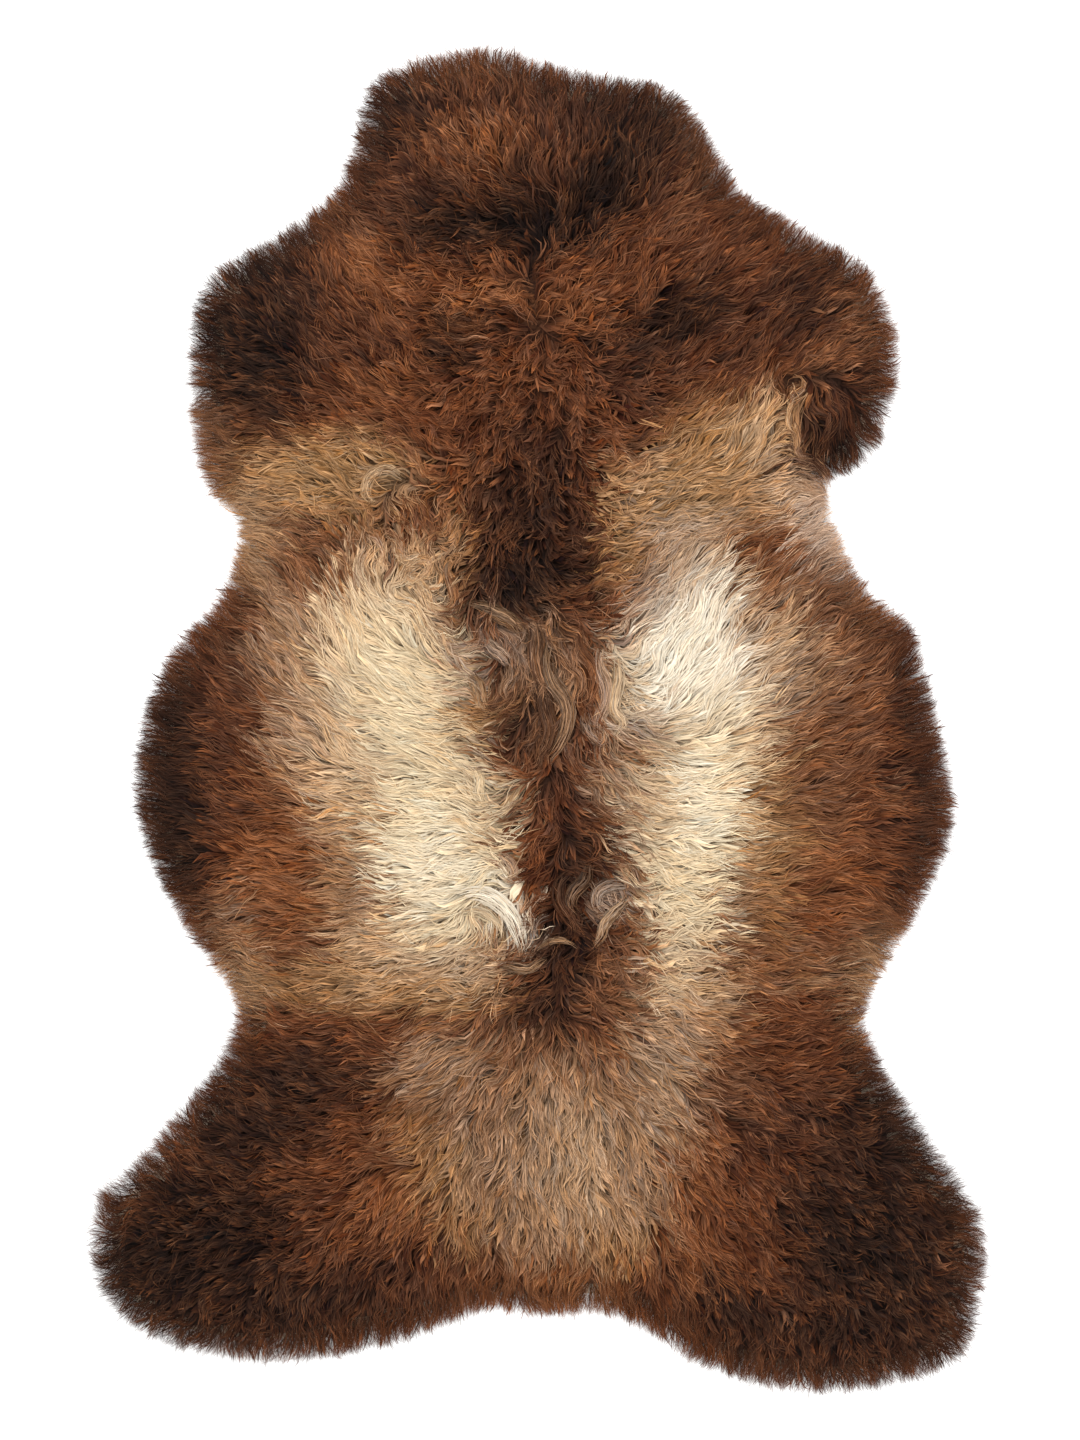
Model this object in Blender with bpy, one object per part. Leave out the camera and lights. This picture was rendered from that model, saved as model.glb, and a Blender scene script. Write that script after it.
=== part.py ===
"""A sheepskin rug lying wool side up: one dressed skin with its fleece, neck towards +Y.

The solid is a lumpy slab with locks of wool standing out of its rim. Metres, +Z up, flat on z = 0.
"""

import math
import random

import bmesh
import bpy
import numpy as np
from mathutils import Vector, geometry, noise

# Driving dimensions, in metres
CROWN_HEIGHT = 0.046  # top of the fleece over the floor, away from the rim
RIM_HEIGHT = 0.013  # fleece at the skin's cut edge
SHOULDER_WIDTH = 0.075  # from the cut edge inwards until the fleece has its full height
SHOULDER_ROUNDNESS = 2.4  # 1 is a straight slope, more is fuller
BROAD_LUMPS = (0.0048, 17.0)  # height, and how many in a metre
SMALL_LUMPS = (0.0030, 38.0)
LOCK_COUNT = 264  # locks of wool round the rim
LOCK_SHARE = (0.58, 0.80)  # part of its stretch of the rim that a lock's root takes up
ROOM_BEFORE = (0.3, 0.7)  # share of the room between two roots that comes before the second one
LOCK_KNEE = 0.55  # where a lock bends, as a share of its reach
KNEE_WIDTH = 0.78  # of the root's width
KNEE_HEIGHT = 0.62  # of the rim's height
KNEE_SLANT = 0.7  # of the tip's slant
LOCK_TOP = 0.7  # width of a lock's top, as a share of its underside
LOCK_TIP_WIDTH = 0.0016
LOCK_TIP_HEIGHT = 0.0022
LOCK_STRAY = 0.002  # how far the middling lock goes past the edge of the wool
LOCK_UNEVEN = 0.20  # how much the reach of one lock differs from the next, as a share
LOCK_SWAY = 11.0  # degrees that a lock turns away from the comb
MOST_SLANT = 50.0  # degrees between a lock and the straight way out of the rim
WOOL_SPACING = 0.0172  # between the points of the fleece's surface
EDGE_SPACING = 0.0125  # the same, next to the rim
GRID_JITTER = 0.22  # how far such a point strays, as a share of the spacing
EDGE_STEPS = 720  # points along the edge of the wool
CURVE_STEPS = 24  # points of the curve between two rows of the edge
EVENING = 4  # neighbours on each side that the way out is evened over

# The edge of the wool, clockwise from the neck, seen from above. x and y are in centimetres from
# the middle of the rug. comb is the way the wool points there, in degrees from +X towards +Y.
# overhang is how far the locks reach past the solid fleece, in millimetres.
EDGE = [
    # part            x      y    comb  overhang
    ("neck",        -13.8,  48.6,  150, 16),
    ("neck",        -11.5,  50.8,  120, 16),
    ("neck",         -4.0,  52.5,   95, 17),
    ("neck",          1.5,  50.8,   78, 16),
    ("neck",          9.7,  49.3,   60, 16),
    ("neck",         13.1,  45.3,   35, 16),
    ("neck",         15.6,  41.0,   45, 15),
    ("fore right",   20.5,  38.2,   50, 16),
    ("fore right",   25.6,  35.0,   35, 17),
    ("fore right",   27.9,  28.4,    5, 17),
    ("fore right",   26.4,  21.6,  -25, 17),
    ("fore right",   24.0,  19.3,  -70, 14),
    ("armpit right", 21.7,  19.0,  -50,  9),
    ("armpit right", 22.6,  15.4,   12, 13),
    ("armpit right", 25.2,  10.2,   30, 15),
    ("flank right",  28.9,   6.8,   32, 17),
    ("flank right",  30.9,  -0.5,   15, 18),
    ("flank right",  32.1,  -7.5,    0, 18),
    ("flank right",  30.0, -13.6,  -30, 17),
    ("waist right",  25.5, -21.2,  -15, 15),
    ("waist right",  25.7, -25.2,   10, 15),
    ("hind right",   29.8, -32.2,   20, 16),
    ("hind right",   34.5, -39.0,   -5, 18),
    ("hind right",   34.0, -45.8,  -15, 18),
    ("hind right",   33.0, -49.2,  -35, 18),
    ("hind right",   29.8, -51.0,  -65, 17),
    ("hind right",   21.5, -52.3,  -85, 17),
    ("hind right",   13.2, -50.5, -110, 17),
    ("hind right",    6.0, -46.3, -100, 15),
    ("tail",         -1.6, -46.2,  -90, 14),
    ("tail",         -3.9, -45.5,  -92, 12),
    ("hind left",    -9.5, -47.7,  -85, 16),
    ("hind left",   -19.0, -49.7,  -92, 17),
    ("hind left",   -28.0, -48.9, -112, 17),
    ("hind left",   -34.1, -44.9, -145, 18),
    ("hind left",   -35.0, -38.0, -190, 18),
    ("hind left",   -30.6, -33.2, -218, 16),
    ("waist left",  -25.2, -26.6, -205, 15),
    ("waist left",  -23.9, -21.6, -182, 14),
    ("flank left",  -28.1, -15.5, -155, 16),
    ("flank left",  -31.3,  -8.6, -175, 18),
    ("flank left",  -31.2,  -0.8, -188, 18),
    ("flank left",  -28.7,   5.6, -212, 17),
    ("armpit left", -24.9,   9.6, -210, 15),
    ("armpit left", -23.3,  15.4, -180, 13),
    ("fore left",   -26.2,  18.6, -160, 15),
    ("fore left",   -27.4,  26.5, -178, 17),
    ("fore left",   -26.2,  34.2, -212, 17),
    ("fore left",   -21.0,  37.6, -238, 16),
    ("neck",        -16.2,  41.0, -220, 15),
    ("neck",        -14.6,  45.0, -195, 16),
]

# Troughs of the fleece (and ridges, where the depth is less than 0): centre and length along the
# heading in centimetres, half width in centimetres, depth in millimetres.
FOLDS = [
    # place                       x      y   heading length  width  depth
    ("crinkled rows, neck",      -3.5,  38.6,     4,  17.0,   1.6,   5.0),
    ("crinkled rows, neck",      -1.5,  34.6,    -3,  20.0,   1.3,   3.5),
    ("parting, chest",           -6.5,  30.2,     0,  11.0,   0.9,   5.0),
    ("parting, chest",            7.0,  29.8,     8,  10.0,   0.9,   3.5),
    ("bank behind the neck",     -1.0,  32.5,     0,  18.0,   1.6,  -2.5),
    ("whorl, left shoulder",    -13.0,  15.4,    35,   5.0,   1.4,   5.0),
    ("parting, withers",         -0.5,  10.5,    80,  16.0,   1.5,   4.0),
    ("spine",                     0.0,   0.5,    92,  12.0,   2.0,   5.0),
    ("spine",                     2.8, -13.5,    88,  14.0,   2.8,   7.0),
    ("curled locks, loin",        4.2, -14.0,    80,   7.0,   1.1,  -3.5),
    ("looped locks, loin",       -3.6, -15.6,   -58,   6.5,   1.4,   7.0),
    ("bank beside the loin",     -6.5, -11.5,   -75,  12.0,   1.8,  -3.0),
    ("parting, rump",            -1.8, -28.0,  -105,  11.0,   1.0,   4.5),
    ("edge of the foreleg",      20.7,  21.2,   -62,   6.0,   0.8,   9.0),
    ("swirl, foreleg",           24.5,  26.0,   -70,   7.0,   1.3,   3.0),
    ("dent, right flank",        26.3,  -7.0,    97,   6.5,   1.3,   5.0),
    ("crease, left flank",      -28.9, -10.6,  -118,  11.0,   0.8,   5.0),
    ("crease, left hock",       -31.2, -35.0,    98,   4.0,   0.7,   5.0),
    ("valley, tail",              0.5, -43.0,     0,  14.0,   2.0,   4.0),
    ("swell, left haunch",      -19.0, -36.0,    35,  14.0,   4.5,  -3.5),
    ("swell, right haunch",      20.0, -38.0,   -40,  14.0,   4.5,  -3.5),
    ("swell, left ribs",        -16.0,  -3.0,    90,  20.0,   4.0,  -3.0),
    ("swell, right ribs",        14.5,  -2.0,    90,  20.0,   4.0,  -3.0),
]

CM = 0.01
MM = 0.001
NEAR = 2e-5  # two places closer than this are the same


def cleared_scene():
    """Takes every object out of the scene."""
    for obj in list(bpy.data.objects):
        bpy.data.objects.remove(obj, do_unlink=True)


def wool_material():
    """Brown wool: dull and rough."""
    wool = bpy.data.materials.new("brown_wool")
    wool.use_nodes = True
    shader = wool.node_tree.nodes["Principled BSDF"]
    shader.inputs["Base Color"].default_value = (0.155, 0.082, 0.045, 1)
    shader.inputs["Roughness"].default_value = 0.9
    shader.inputs["Metallic"].default_value = 0.0
    return wool


def resampled(loop, shares):
    """The rows of a closed loop, read at the given shares of its length."""
    closed = np.vstack([loop, loop[:1]])
    steps = np.linalg.norm(np.diff(closed[:, :2], axis=0), axis=1)
    along = np.concatenate([[0], np.cumsum(steps)])
    return np.stack([np.interp(shares * along[-1], along, column) for column in closed.T], axis=1)


def smooth_loop(rows, count):
    """A closed curve through the rows, as points at even distances."""
    rows = np.array(rows)
    before, after, beyond = (np.roll(rows, shift, axis=0) for shift in (1, -1, -2))
    share = np.linspace(0, 1, CURVE_STEPS, endpoint=False)[None, :, None]
    start, end = rows[:, None], after[:, None]
    slope_start, slope_end = (after - before)[:, None] / 2, (beyond - rows)[:, None] / 2
    fine = (
        start * (2 * share**3 - 3 * share**2 + 1)
        + slope_start * (share**3 - 2 * share**2 + share)
        + end * (3 * share**2 - 2 * share**3)
        + slope_end * (share**3 - share**2)
    )
    return resampled(fine.reshape(-1, rows.shape[1]), np.arange(count) / count)


def outward(loop):
    """Unit vectors pointing out of a clockwise loop, evened out over a few neighbours."""
    tangent = np.roll(loop, -EVENING, axis=0) - np.roll(loop, EVENING, axis=0)
    normal = np.stack([-tangent[:, 1], tangent[:, 0]], axis=1)
    return normal / np.linalg.norm(normal, axis=1, keepdims=True)


def rim_of_fleece():
    """The rim of the slab and, for each of its points, the way out, the comb and how far the wool reaches."""
    rows = []
    for _, x, y, comb, overhang in EDGE:
        angle = math.radians(comb)
        rows.append((x * CM, y * CM, math.cos(angle), math.sin(angle), overhang * MM))
    edge = smooth_loop(rows, EDGE_STEPS)
    out = outward(edge[:, :2])
    inset = np.hstack([edge[:, :2] - out * edge[:, 4:], out, edge[:, 2:]])
    chance = random.Random(7)
    places = []
    for number in range(LOCK_COUNT):
        share = chance.uniform(*LOCK_SHARE)
        start = chance.uniform(*ROOM_BEFORE) * (1 - share)
        places += [(number + start) / LOCK_COUNT, (number + start + share) / LOCK_COUNT]
    rim = resampled(inset, np.array(places))
    return rim[:, :2], rim[:, 2:4], rim[:, 4:6], rim[:, 6]


def rim_distance(places, rim):
    """Each place's distance to the nearest side of the rim."""
    start, side = rim, np.roll(rim, -1, axis=0) - rim
    offset = places[:, None] - start[None]
    share = (offset * side).sum(2) / (side * side).sum(1)
    foot = start + np.clip(share, 0, 1)[..., None] * side
    return np.linalg.norm(places[:, None] - foot, axis=2).min(1)


def inside(places, rim):
    """Whether each place lies within the rim."""
    x, y = places[:, 0, None], places[:, 1, None]
    ax, ay = rim[:, 0], rim[:, 1]
    bx, by = np.roll(ax, -1), np.roll(ay, -1)
    crosses = (ay > y) != (by > y)
    run = np.where(crosses, by - ay, 1)
    return (crosses & (x < ax + (y - ay) * (bx - ax) / run)).sum(1) % 2 == 1


def fleece_height(places, distance):
    """The top of the wool: a rounded rim, a crown, folds and the soft lumps of the staples."""
    rise = np.clip(distance / SHOULDER_WIDTH, 0, 1)
    height = RIM_HEIGHT + (CROWN_HEIGHT - RIM_HEIGHT) * (1 - (1 - rise) ** SHOULDER_ROUNDNESS)
    fullness = np.clip(distance / (0.5 * SHOULDER_WIDTH), 0, 1)
    lumps = np.zeros(len(places))
    for layer, (size, number) in enumerate((BROAD_LUMPS, SMALL_LUMPS)):
        lumps += [size * noise.noise(Vector((x * number, y * number, 9 * layer))) for x, y in places]
    folds = np.zeros(len(places))
    for _, x, y, heading, length, width, depth in FOLDS:
        angle = math.radians(heading)
        along = np.array([math.cos(angle), math.sin(angle)])
        offset = places - np.array([x, y]) * CM
        run, side = offset @ along, offset @ np.array([-along[1], along[0]])
        folds -= depth * MM * np.exp(-((side / (width * CM)) ** 2) - (run / (0.5 * length * CM)) ** 4)
    return height + fullness * (lumps + folds)


def wool_points(rim):
    """Places for the points of the fleece's surface: a row beside the rim and an uneven grid within."""
    chance = random.Random(4)
    first_row = rim[::2] - outward(rim)[::2] * EDGE_SPACING
    first_row = first_row[rim_distance(first_row, rim) > 0.85 * EDGE_SPACING]
    low, high = rim.min(0), rim.max(0)
    rows = []
    row_height = WOOL_SPACING * math.sqrt(0.75)
    for row in range(int((high[1] - low[1]) / row_height) + 1):
        shift = 0.5 * WOOL_SPACING * (row % 2)
        for column in range(int((high[0] - low[0]) / WOOL_SPACING) + 1):
            jitter = [chance.uniform(-GRID_JITTER, GRID_JITTER) * WOOL_SPACING for _ in range(2)]
            rows.append((
                low[0] + shift + column * WOOL_SPACING + jitter[0],
                low[1] + row * row_height + jitter[1],
            ))
    grid = np.array(rows)
    grid = grid[inside(grid, rim)]
    grid = grid[rim_distance(grid, rim) > EDGE_SPACING + 0.6 * WOOL_SPACING]
    return np.vstack([first_row, grid])


def fleece_body(rim):
    """The slab: its top through the points of the wool, its wall down to the floor and its flat underside."""
    inner = wool_points(rim)
    places = [Vector(place) for place in np.vstack([rim, inner])]
    ring = list(range(len(rim)))
    flat, _, triangles, *_ = geometry.delaunay_2d_cdt(places, [], [ring], 1, 1e-6)
    spots = np.array([(spot.x, spot.y) for spot in flat])
    distance = rim_distance(spots, rim)
    height = fleece_height(spots, distance)
    body = bmesh.new()
    points = [body.verts.new((x, y, z)) for (x, y), z in zip(spots, height)]
    for triangle in triangles:
        body.faces.new([points[index] for index in triangle])
    rim_edges = [edge for edge in body.edges if edge.is_boundary]
    wall = bmesh.ops.extrude_edge_only(body, edges=rim_edges)["geom"]
    for point in wall:
        if isinstance(point, bmesh.types.BMVert):
            point.co.z = 0
    floor_edges = [edge for edge in wall if isinstance(edge, bmesh.types.BMEdge) and edge.is_boundary]
    bmesh.ops.triangle_fill(body, edges=floor_edges, use_beauty=True)
    bmesh.ops.recalc_face_normals(body, faces=body.faces)
    return body


def root_faces(body, rim):
    """The wall's face under each lock's root, by the number of the lock."""
    roots = (rim[::2] + rim[1::2]) / 2
    found = {}
    for face in body.faces:
        if len(face.verts) != 4:
            continue
        middle = np.array(face.calc_center_median()[:2])
        distance = np.linalg.norm(roots - middle, axis=1)
        if distance.min() < NEAR:
            found[int(distance.argmin())] = face
    return found


def drawn_out(body, face, centre, way, width, height):
    """Extrudes the face of a lock to a new place on the floor and gives it that width and height."""
    tip = bmesh.ops.extrude_discrete_faces(body, faces=[face])["faces"][0]
    middle = sum((point.co for point in tip.verts), Vector()) / len(tip.verts)
    across = Vector((-way.y, way.x, 0))
    for point in tip.verts:
        side = math.copysign(0.5, (point.co - middle).dot(across))
        top = height if point.co.z > middle.z else 0
        breadth = width * (LOCK_TOP if top else 1)
        point.co = centre + across * side * breadth
        point.co.z = top
    return tip


def rim_locks(body, rim, out, comb, overhang):
    """Draws each root out into a lock of wool that lies level on the floor and ends in a point."""
    chance = random.Random(11)
    for number, face in sorted(root_faces(body, rim).items()):
        first, second = 2 * number, 2 * number + 1
        root = Vector((*(rim[first] + rim[second]) / 2, 0))
        width = float(np.linalg.norm(rim[second] - rim[first]))
        straight = Vector((*(out[first] + out[second]), 0)).normalized()
        way = Vector((*(comb[first] + comb[second]), 0)).normalized()
        slant = straight.to_2d().angle_signed(way.to_2d())
        slant = max(-math.radians(MOST_SLANT), min(math.radians(MOST_SLANT), slant))
        slant -= math.radians(chance.uniform(-LOCK_SWAY, LOCK_SWAY))
        bend = math.radians(chance.uniform(-LOCK_SWAY, LOCK_SWAY))
        reach = (float(overhang[first]) + LOCK_STRAY) / math.cos(slant)
        reach *= chance.uniform(1 - LOCK_UNEVEN, 1 + LOCK_UNEVEN)
        ways = []
        for angle in (KNEE_SLANT * slant, slant + bend):
            cosine, sine = math.cos(angle), math.sin(-angle)
            ways.append(Vector((
                straight.x * cosine - straight.y * sine,
                straight.x * sine + straight.y * cosine,
                0,
            )))
        knee = root + ways[0] * reach * LOCK_KNEE
        tip = knee + ways[1] * reach * (1 - LOCK_KNEE)
        half = drawn_out(body, face, knee, ways[0], KNEE_WIDTH * width, KNEE_HEIGHT * RIM_HEIGHT)
        drawn_out(body, half, tip, ways[1], LOCK_TIP_WIDTH, LOCK_TIP_HEIGHT)


def sheepskin():
    """The rug as one closed solid, centred on the origin."""
    rim, out, comb, overhang = rim_of_fleece()
    body = fleece_body(rim)
    rim_locks(body, rim, out, comb, overhang)
    bmesh.ops.triangulate(body, faces=body.faces)
    corners = np.array([point.co for point in body.verts])
    middle = (corners.min(0) + corners.max(0)) / 2
    bmesh.ops.translate(body, verts=body.verts, vec=(-middle[0], -middle[1], 0))
    mesh = bpy.data.meshes.new("sheepskin")
    body.to_mesh(mesh)
    body.free()
    mesh.shade_smooth()
    mesh.set_sharp_from_angle(angle=math.radians(40))
    mesh.materials.append(wool_material())
    rug = bpy.data.objects.new("sheepskin", mesh)
    bpy.context.scene.collection.objects.link(rug)
    return rug


cleared_scene()
sheepskin()
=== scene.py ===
import math

import bmesh
import bpy
import numpy as np
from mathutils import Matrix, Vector, kdtree
from mathutils.bvhtree import BVHTree


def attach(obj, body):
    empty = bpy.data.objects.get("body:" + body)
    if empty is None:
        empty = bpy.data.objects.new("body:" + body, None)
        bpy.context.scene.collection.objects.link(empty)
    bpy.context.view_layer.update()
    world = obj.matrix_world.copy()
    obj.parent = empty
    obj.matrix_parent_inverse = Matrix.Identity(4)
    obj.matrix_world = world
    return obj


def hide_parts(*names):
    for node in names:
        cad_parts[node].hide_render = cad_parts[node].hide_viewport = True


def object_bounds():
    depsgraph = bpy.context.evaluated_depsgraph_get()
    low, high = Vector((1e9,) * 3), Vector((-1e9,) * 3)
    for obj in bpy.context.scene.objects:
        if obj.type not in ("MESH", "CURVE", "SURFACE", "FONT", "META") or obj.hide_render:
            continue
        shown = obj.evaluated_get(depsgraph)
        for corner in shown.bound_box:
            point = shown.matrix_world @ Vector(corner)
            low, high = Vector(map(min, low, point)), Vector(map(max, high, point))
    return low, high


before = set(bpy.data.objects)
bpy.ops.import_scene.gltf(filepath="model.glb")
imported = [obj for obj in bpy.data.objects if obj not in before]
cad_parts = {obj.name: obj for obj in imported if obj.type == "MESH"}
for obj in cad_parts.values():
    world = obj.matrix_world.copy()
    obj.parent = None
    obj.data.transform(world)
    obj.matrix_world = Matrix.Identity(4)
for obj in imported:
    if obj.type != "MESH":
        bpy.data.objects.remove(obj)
cad_low, cad_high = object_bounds()

# The view. The camera hangs over the middle of the rug and looks straight down at it, from far
# enough for the wool at the rim to be seen from above too.
PHOTO_LONG_SIDE = 1.1131  # metres of floor that the long side of the picture takes in
PHOTO_MIDDLE = (0.0012, 0.0013)
WOOL_LEVEL = 0.02
SENSOR = 36.0
LENS = 85.0

eye = bpy.data.cameras.new("camera")
eye.sensor_width = SENSOR
eye.lens = LENS
eye.clip_end = 30
camera = bpy.data.objects.new("camera", eye)
camera.location = (*PHOTO_MIDDLE, WOOL_LEVEL + PHOTO_LONG_SIDE * LENS / SENSOR)
bpy.context.scene.collection.objects.link(camera)
bpy.context.scene.camera = camera

# The hide. One dressed skin, cut to its natural outline a little inside the wool and shaved to an
# even thickness, with a cream suede face underneath and the wool growing out of its other face.
HIDE_THICKNESS = 0.0026
HIDE_INSET = 0.004  # the hide ends this far inside the solid fleece's rim
HIDE_LIFT = 0.0002
RIM_HEIGHT = 0.013  # of the solid fleece, at its rim
LOCK_TIP = 0.0035  # the tips of the solid's locks lie below this
SUEDE = (0.72, 0.60, 0.46)
SUEDE_STAIN = (0.55, 0.40, 0.27)
SUEDE_EDGE = (0.42, 0.30, 0.20)


def merged_solid():
    """A welded copy of the solid sheepskin, as a bmesh."""
    solid = bmesh.new()
    solid.from_mesh(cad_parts["sheepskin"].data)
    bmesh.ops.remove_doubles(solid, verts=solid.verts, dist=1e-6)
    return solid


def finished(name, mesh_or_bmesh, material):
    """A shown object at the origin with this mesh and material, riding on the rug's one body."""
    if isinstance(mesh_or_bmesh, bmesh.types.BMesh):
        mesh = bpy.data.meshes.new(name)
        mesh_or_bmesh.to_mesh(mesh)
        mesh_or_bmesh.free()
    else:
        mesh = mesh_or_bmesh
    mesh.materials.append(material)
    piece = bpy.data.objects.new(name, mesh)
    bpy.context.scene.collection.objects.link(piece)
    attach(piece, "root")
    return piece


def principled(name):
    """A new material, its node tree and its shader."""
    material = bpy.data.materials.new(name)
    material.use_nodes = True
    return material, material.node_tree, material.node_tree.nodes["Principled BSDF"]


def noise_on(tree, scale, detail=4.0, own_map=None):
    """A noise over the object's own coordinates or a map of its own, as a node."""
    if own_map:
        place = tree.nodes.new("ShaderNodeUVMap")
        place.uv_map = own_map
    else:
        place = tree.nodes.new("ShaderNodeTexCoord")
    noise = tree.nodes.new("ShaderNodeTexNoise")
    noise.inputs["Scale"].default_value = scale
    noise.inputs["Detail"].default_value = detail
    tree.links.new(place.outputs["UV" if own_map else "Object"], noise.inputs["Vector"])
    return noise


def ramp_of(tree, source, *stops):
    """A colour ramp through the stops, each a place from 0 to 1 and a colour."""
    ramp = tree.nodes.new("ShaderNodeValToRGB")
    for number, (place, colour) in enumerate(stops):
        stop = ramp.color_ramp.elements[number] if number < 2 else ramp.color_ramp.elements.new(place)
        stop.position = place
        stop.color = (*colour, 1)
    tree.links.new(source, ramp.inputs["Fac"])
    return ramp


def suede():
    """Cream suede: napped, with soft stains and a fine grain."""
    material, tree, shader = principled("hide_suede")
    stains = ramp_of(tree, noise_on(tree, 9.0, 6.0).outputs["Fac"], (0.35, SUEDE_STAIN), (0.62, SUEDE))
    nap = noise_on(tree, 900.0, 3.0)
    mix = tree.nodes.new("ShaderNodeMix")
    mix.data_type = "RGBA"
    mix.blend_type = "MULTIPLY"
    mix.inputs["Factor"].default_value = 0.35
    tree.links.new(stains.outputs["Color"], mix.inputs["A"])
    tree.links.new(nap.outputs["Color"], mix.inputs["B"])
    tree.links.new(mix.outputs["Result"], shader.inputs["Base Color"])
    bump = tree.nodes.new("ShaderNodeBump")
    bump.inputs["Strength"].default_value = 0.35
    bump.inputs["Distance"].default_value = 0.0008
    tree.links.new(nap.outputs["Fac"], bump.inputs["Height"])
    tree.links.new(bump.outputs["Normal"], shader.inputs["Normal"])
    shader.inputs["Roughness"].default_value = 0.95
    shader.inputs["Sheen Weight"].default_value = 0.3
    return material


def hide_mesh():
    """The underside of the solid without its locks, drawn in a little and made a thin even sheet."""
    sheet = merged_solid()
    rim = {
        (round(v.co.x, 5), round(v.co.y, 5)) for v in sheet.verts if abs(v.co.z - RIM_HEIGHT) < 5e-5
    }
    corners = {v for v in sheet.verts if v.co.z < 1e-5 and (round(v.co.x, 5), round(v.co.y, 5)) in rim}
    kept = {face for face in sheet.faces if all(v in corners for v in face.verts)}
    bmesh.ops.delete(sheet, geom=[face for face in sheet.faces if face not in kept], context="FACES")
    bmesh.ops.dissolve_faces(sheet, faces=sheet.faces)
    bmesh.ops.inset_region(sheet, faces=sheet.faces, thickness=HIDE_INSET, use_even_offset=False)
    border = [face for face in sheet.faces if len(face.verts) == 4]
    bmesh.ops.delete(sheet, geom=border, context="FACES")
    bmesh.ops.triangulate(sheet, faces=sheet.faces)
    if next(iter(sheet.faces)).normal.z > 0:
        bmesh.ops.reverse_faces(sheet, faces=sheet.faces)
    bmesh.ops.translate(sheet, verts=sheet.verts, vec=(0, 0, HIDE_LIFT))
    upper = bmesh.ops.extrude_face_region(sheet, geom=list(sheet.faces), use_keep_orig=True)["geom"]
    raised = [v for v in upper if isinstance(v, bmesh.types.BMVert)]
    bmesh.ops.translate(sheet, verts=raised, vec=(0, 0, HIDE_THICKNESS))
    bmesh.ops.recalc_face_normals(sheet, faces=sheet.faces)
    return sheet


hide = finished("hide", hide_mesh(), suede())
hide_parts("sheepskin")

# The undercoat. The dense wool next to the skin, matted to a soft lumpy body that is seen only as
# the dark ground between the locks above it, its colour painted darker as the shade there.
PITCH = 0.004  # of the map of the fleece's height
OVERHANG = 0.024  # the wool past the solid fleece's rim that the map takes in
FLOOR_GAP = 0.0006
UNDERCOAT_DEPTH = 0.009  # below the top of the fleece
UNDERCOAT_INSET = 0.004
UNDERCOAT_PITCH = 0.0065
UNDERCOAT_SHADE = (0.50, 0.42)  # painted shade: its tone beside that of the wool over it, and what pale wool adds
LOCKS_NEARBY = 14  # points of lock tips that settle how far the wool reaches past the rim
TABLE_MIDDLE = np.array([0.0027, 0.0006])  # where the middle of the tables' centimetres lies
CM = 0.01
MM = 0.001


class FleeceMap:
    """The height of the fleece, the distance to its rim and the reach of the locks there, on a grid."""

    def __init__(self):
        solid = merged_solid()
        tree = BVHTree.FromBMesh(solid)
        rim = [v.co.copy() for v in solid.verts if abs(v.co.z - RIM_HEIGHT) < 5e-5]
        locks = [v.co.copy() for v in solid.verts if 1e-5 < v.co.z < LOCK_TIP]
        solid.free()
        near = kdtree.KDTree(len(rim))
        for number, place in enumerate(rim):
            near.insert((place.x, place.y, 0), number)
        near.balance()
        tips = kdtree.KDTree(len(locks))
        reaches = [near.find((place.x, place.y, 0))[2] for place in locks]
        for number, place in enumerate(locks):
            tips.insert((place.x, place.y, 0), number)
        tips.balance()
        self.low = np.array(cad_low[:2]) - 3 * PITCH
        size = np.array(cad_high[:2]) + 3 * PITCH - self.low
        self.shape = tuple(int(n) + 2 for n in size / PITCH)
        self.height = np.zeros(self.shape)
        self.distance = np.zeros(self.shape)
        self.overhang = np.zeros(self.shape)
        for column in range(self.shape[0]):
            for row in range(self.shape[1]):
                x, y = self.low + np.array([column, row]) * PITCH
                hit = tree.ray_cast(Vector((x, y, 1)), Vector((0, 0, -1)))[0]
                reach = near.find((x, y, 0))[2]
                inner = hit is not None and hit.z > RIM_HEIGHT - 2e-4
                self.distance[column, row] = reach if inner else -reach
                fall = max(0.0, 1 - reach / OVERHANG)
                self.height[column, row] = hit.z if inner else RIM_HEIGHT * fall**0.8
                if reach < 2 * OVERHANG:
                    around = tips.find_n((x, y, 0), LOCKS_NEARBY)
                    self.overhang[column, row] = sum(reaches[found[1]] for found in around) / LOCKS_NEARBY

    def read(self, field, x, y):
        """The field's values at these places."""
        u = np.clip((x - self.low[0]) / PITCH, 0, self.shape[0] - 1.001)
        v = np.clip((y - self.low[1]) / PITCH, 0, self.shape[1] - 1.001)
        i, j = u.astype(int), v.astype(int)
        u, v = u - i, v - j
        return (
            field[i, j] * (1 - u) * (1 - v) + field[i + 1, j] * u * (1 - v)
            + field[i, j + 1] * (1 - u) * v + field[i + 1, j + 1] * u * v
        )


fleece = FleeceMap()


def smooth_step(value, low, high):
    """From 0 at low to 1 at high, with soft ends."""
    share = np.clip((value - low) / (high - low), 0, 1)
    return share * share * (3 - 2 * share)


def waves(x, y, number, seed, layers=3):
    """A soft noise from about -1 to 1: sums of plane waves, so many to the metre, in mixed directions."""
    chance = np.random.default_rng(seed)
    total = np.zeros_like(x)
    for _ in range(layers * 5):
        angle, phase = chance.uniform(0, 2 * math.pi, 2)
        pace = number * 2 * math.pi * chance.uniform(0.6, 1.7)
        total += np.sin((x * math.cos(angle) + y * math.sin(angle)) * pace + phase)
    return total / math.sqrt(layers * 5 / 2) / 1.6


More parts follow.
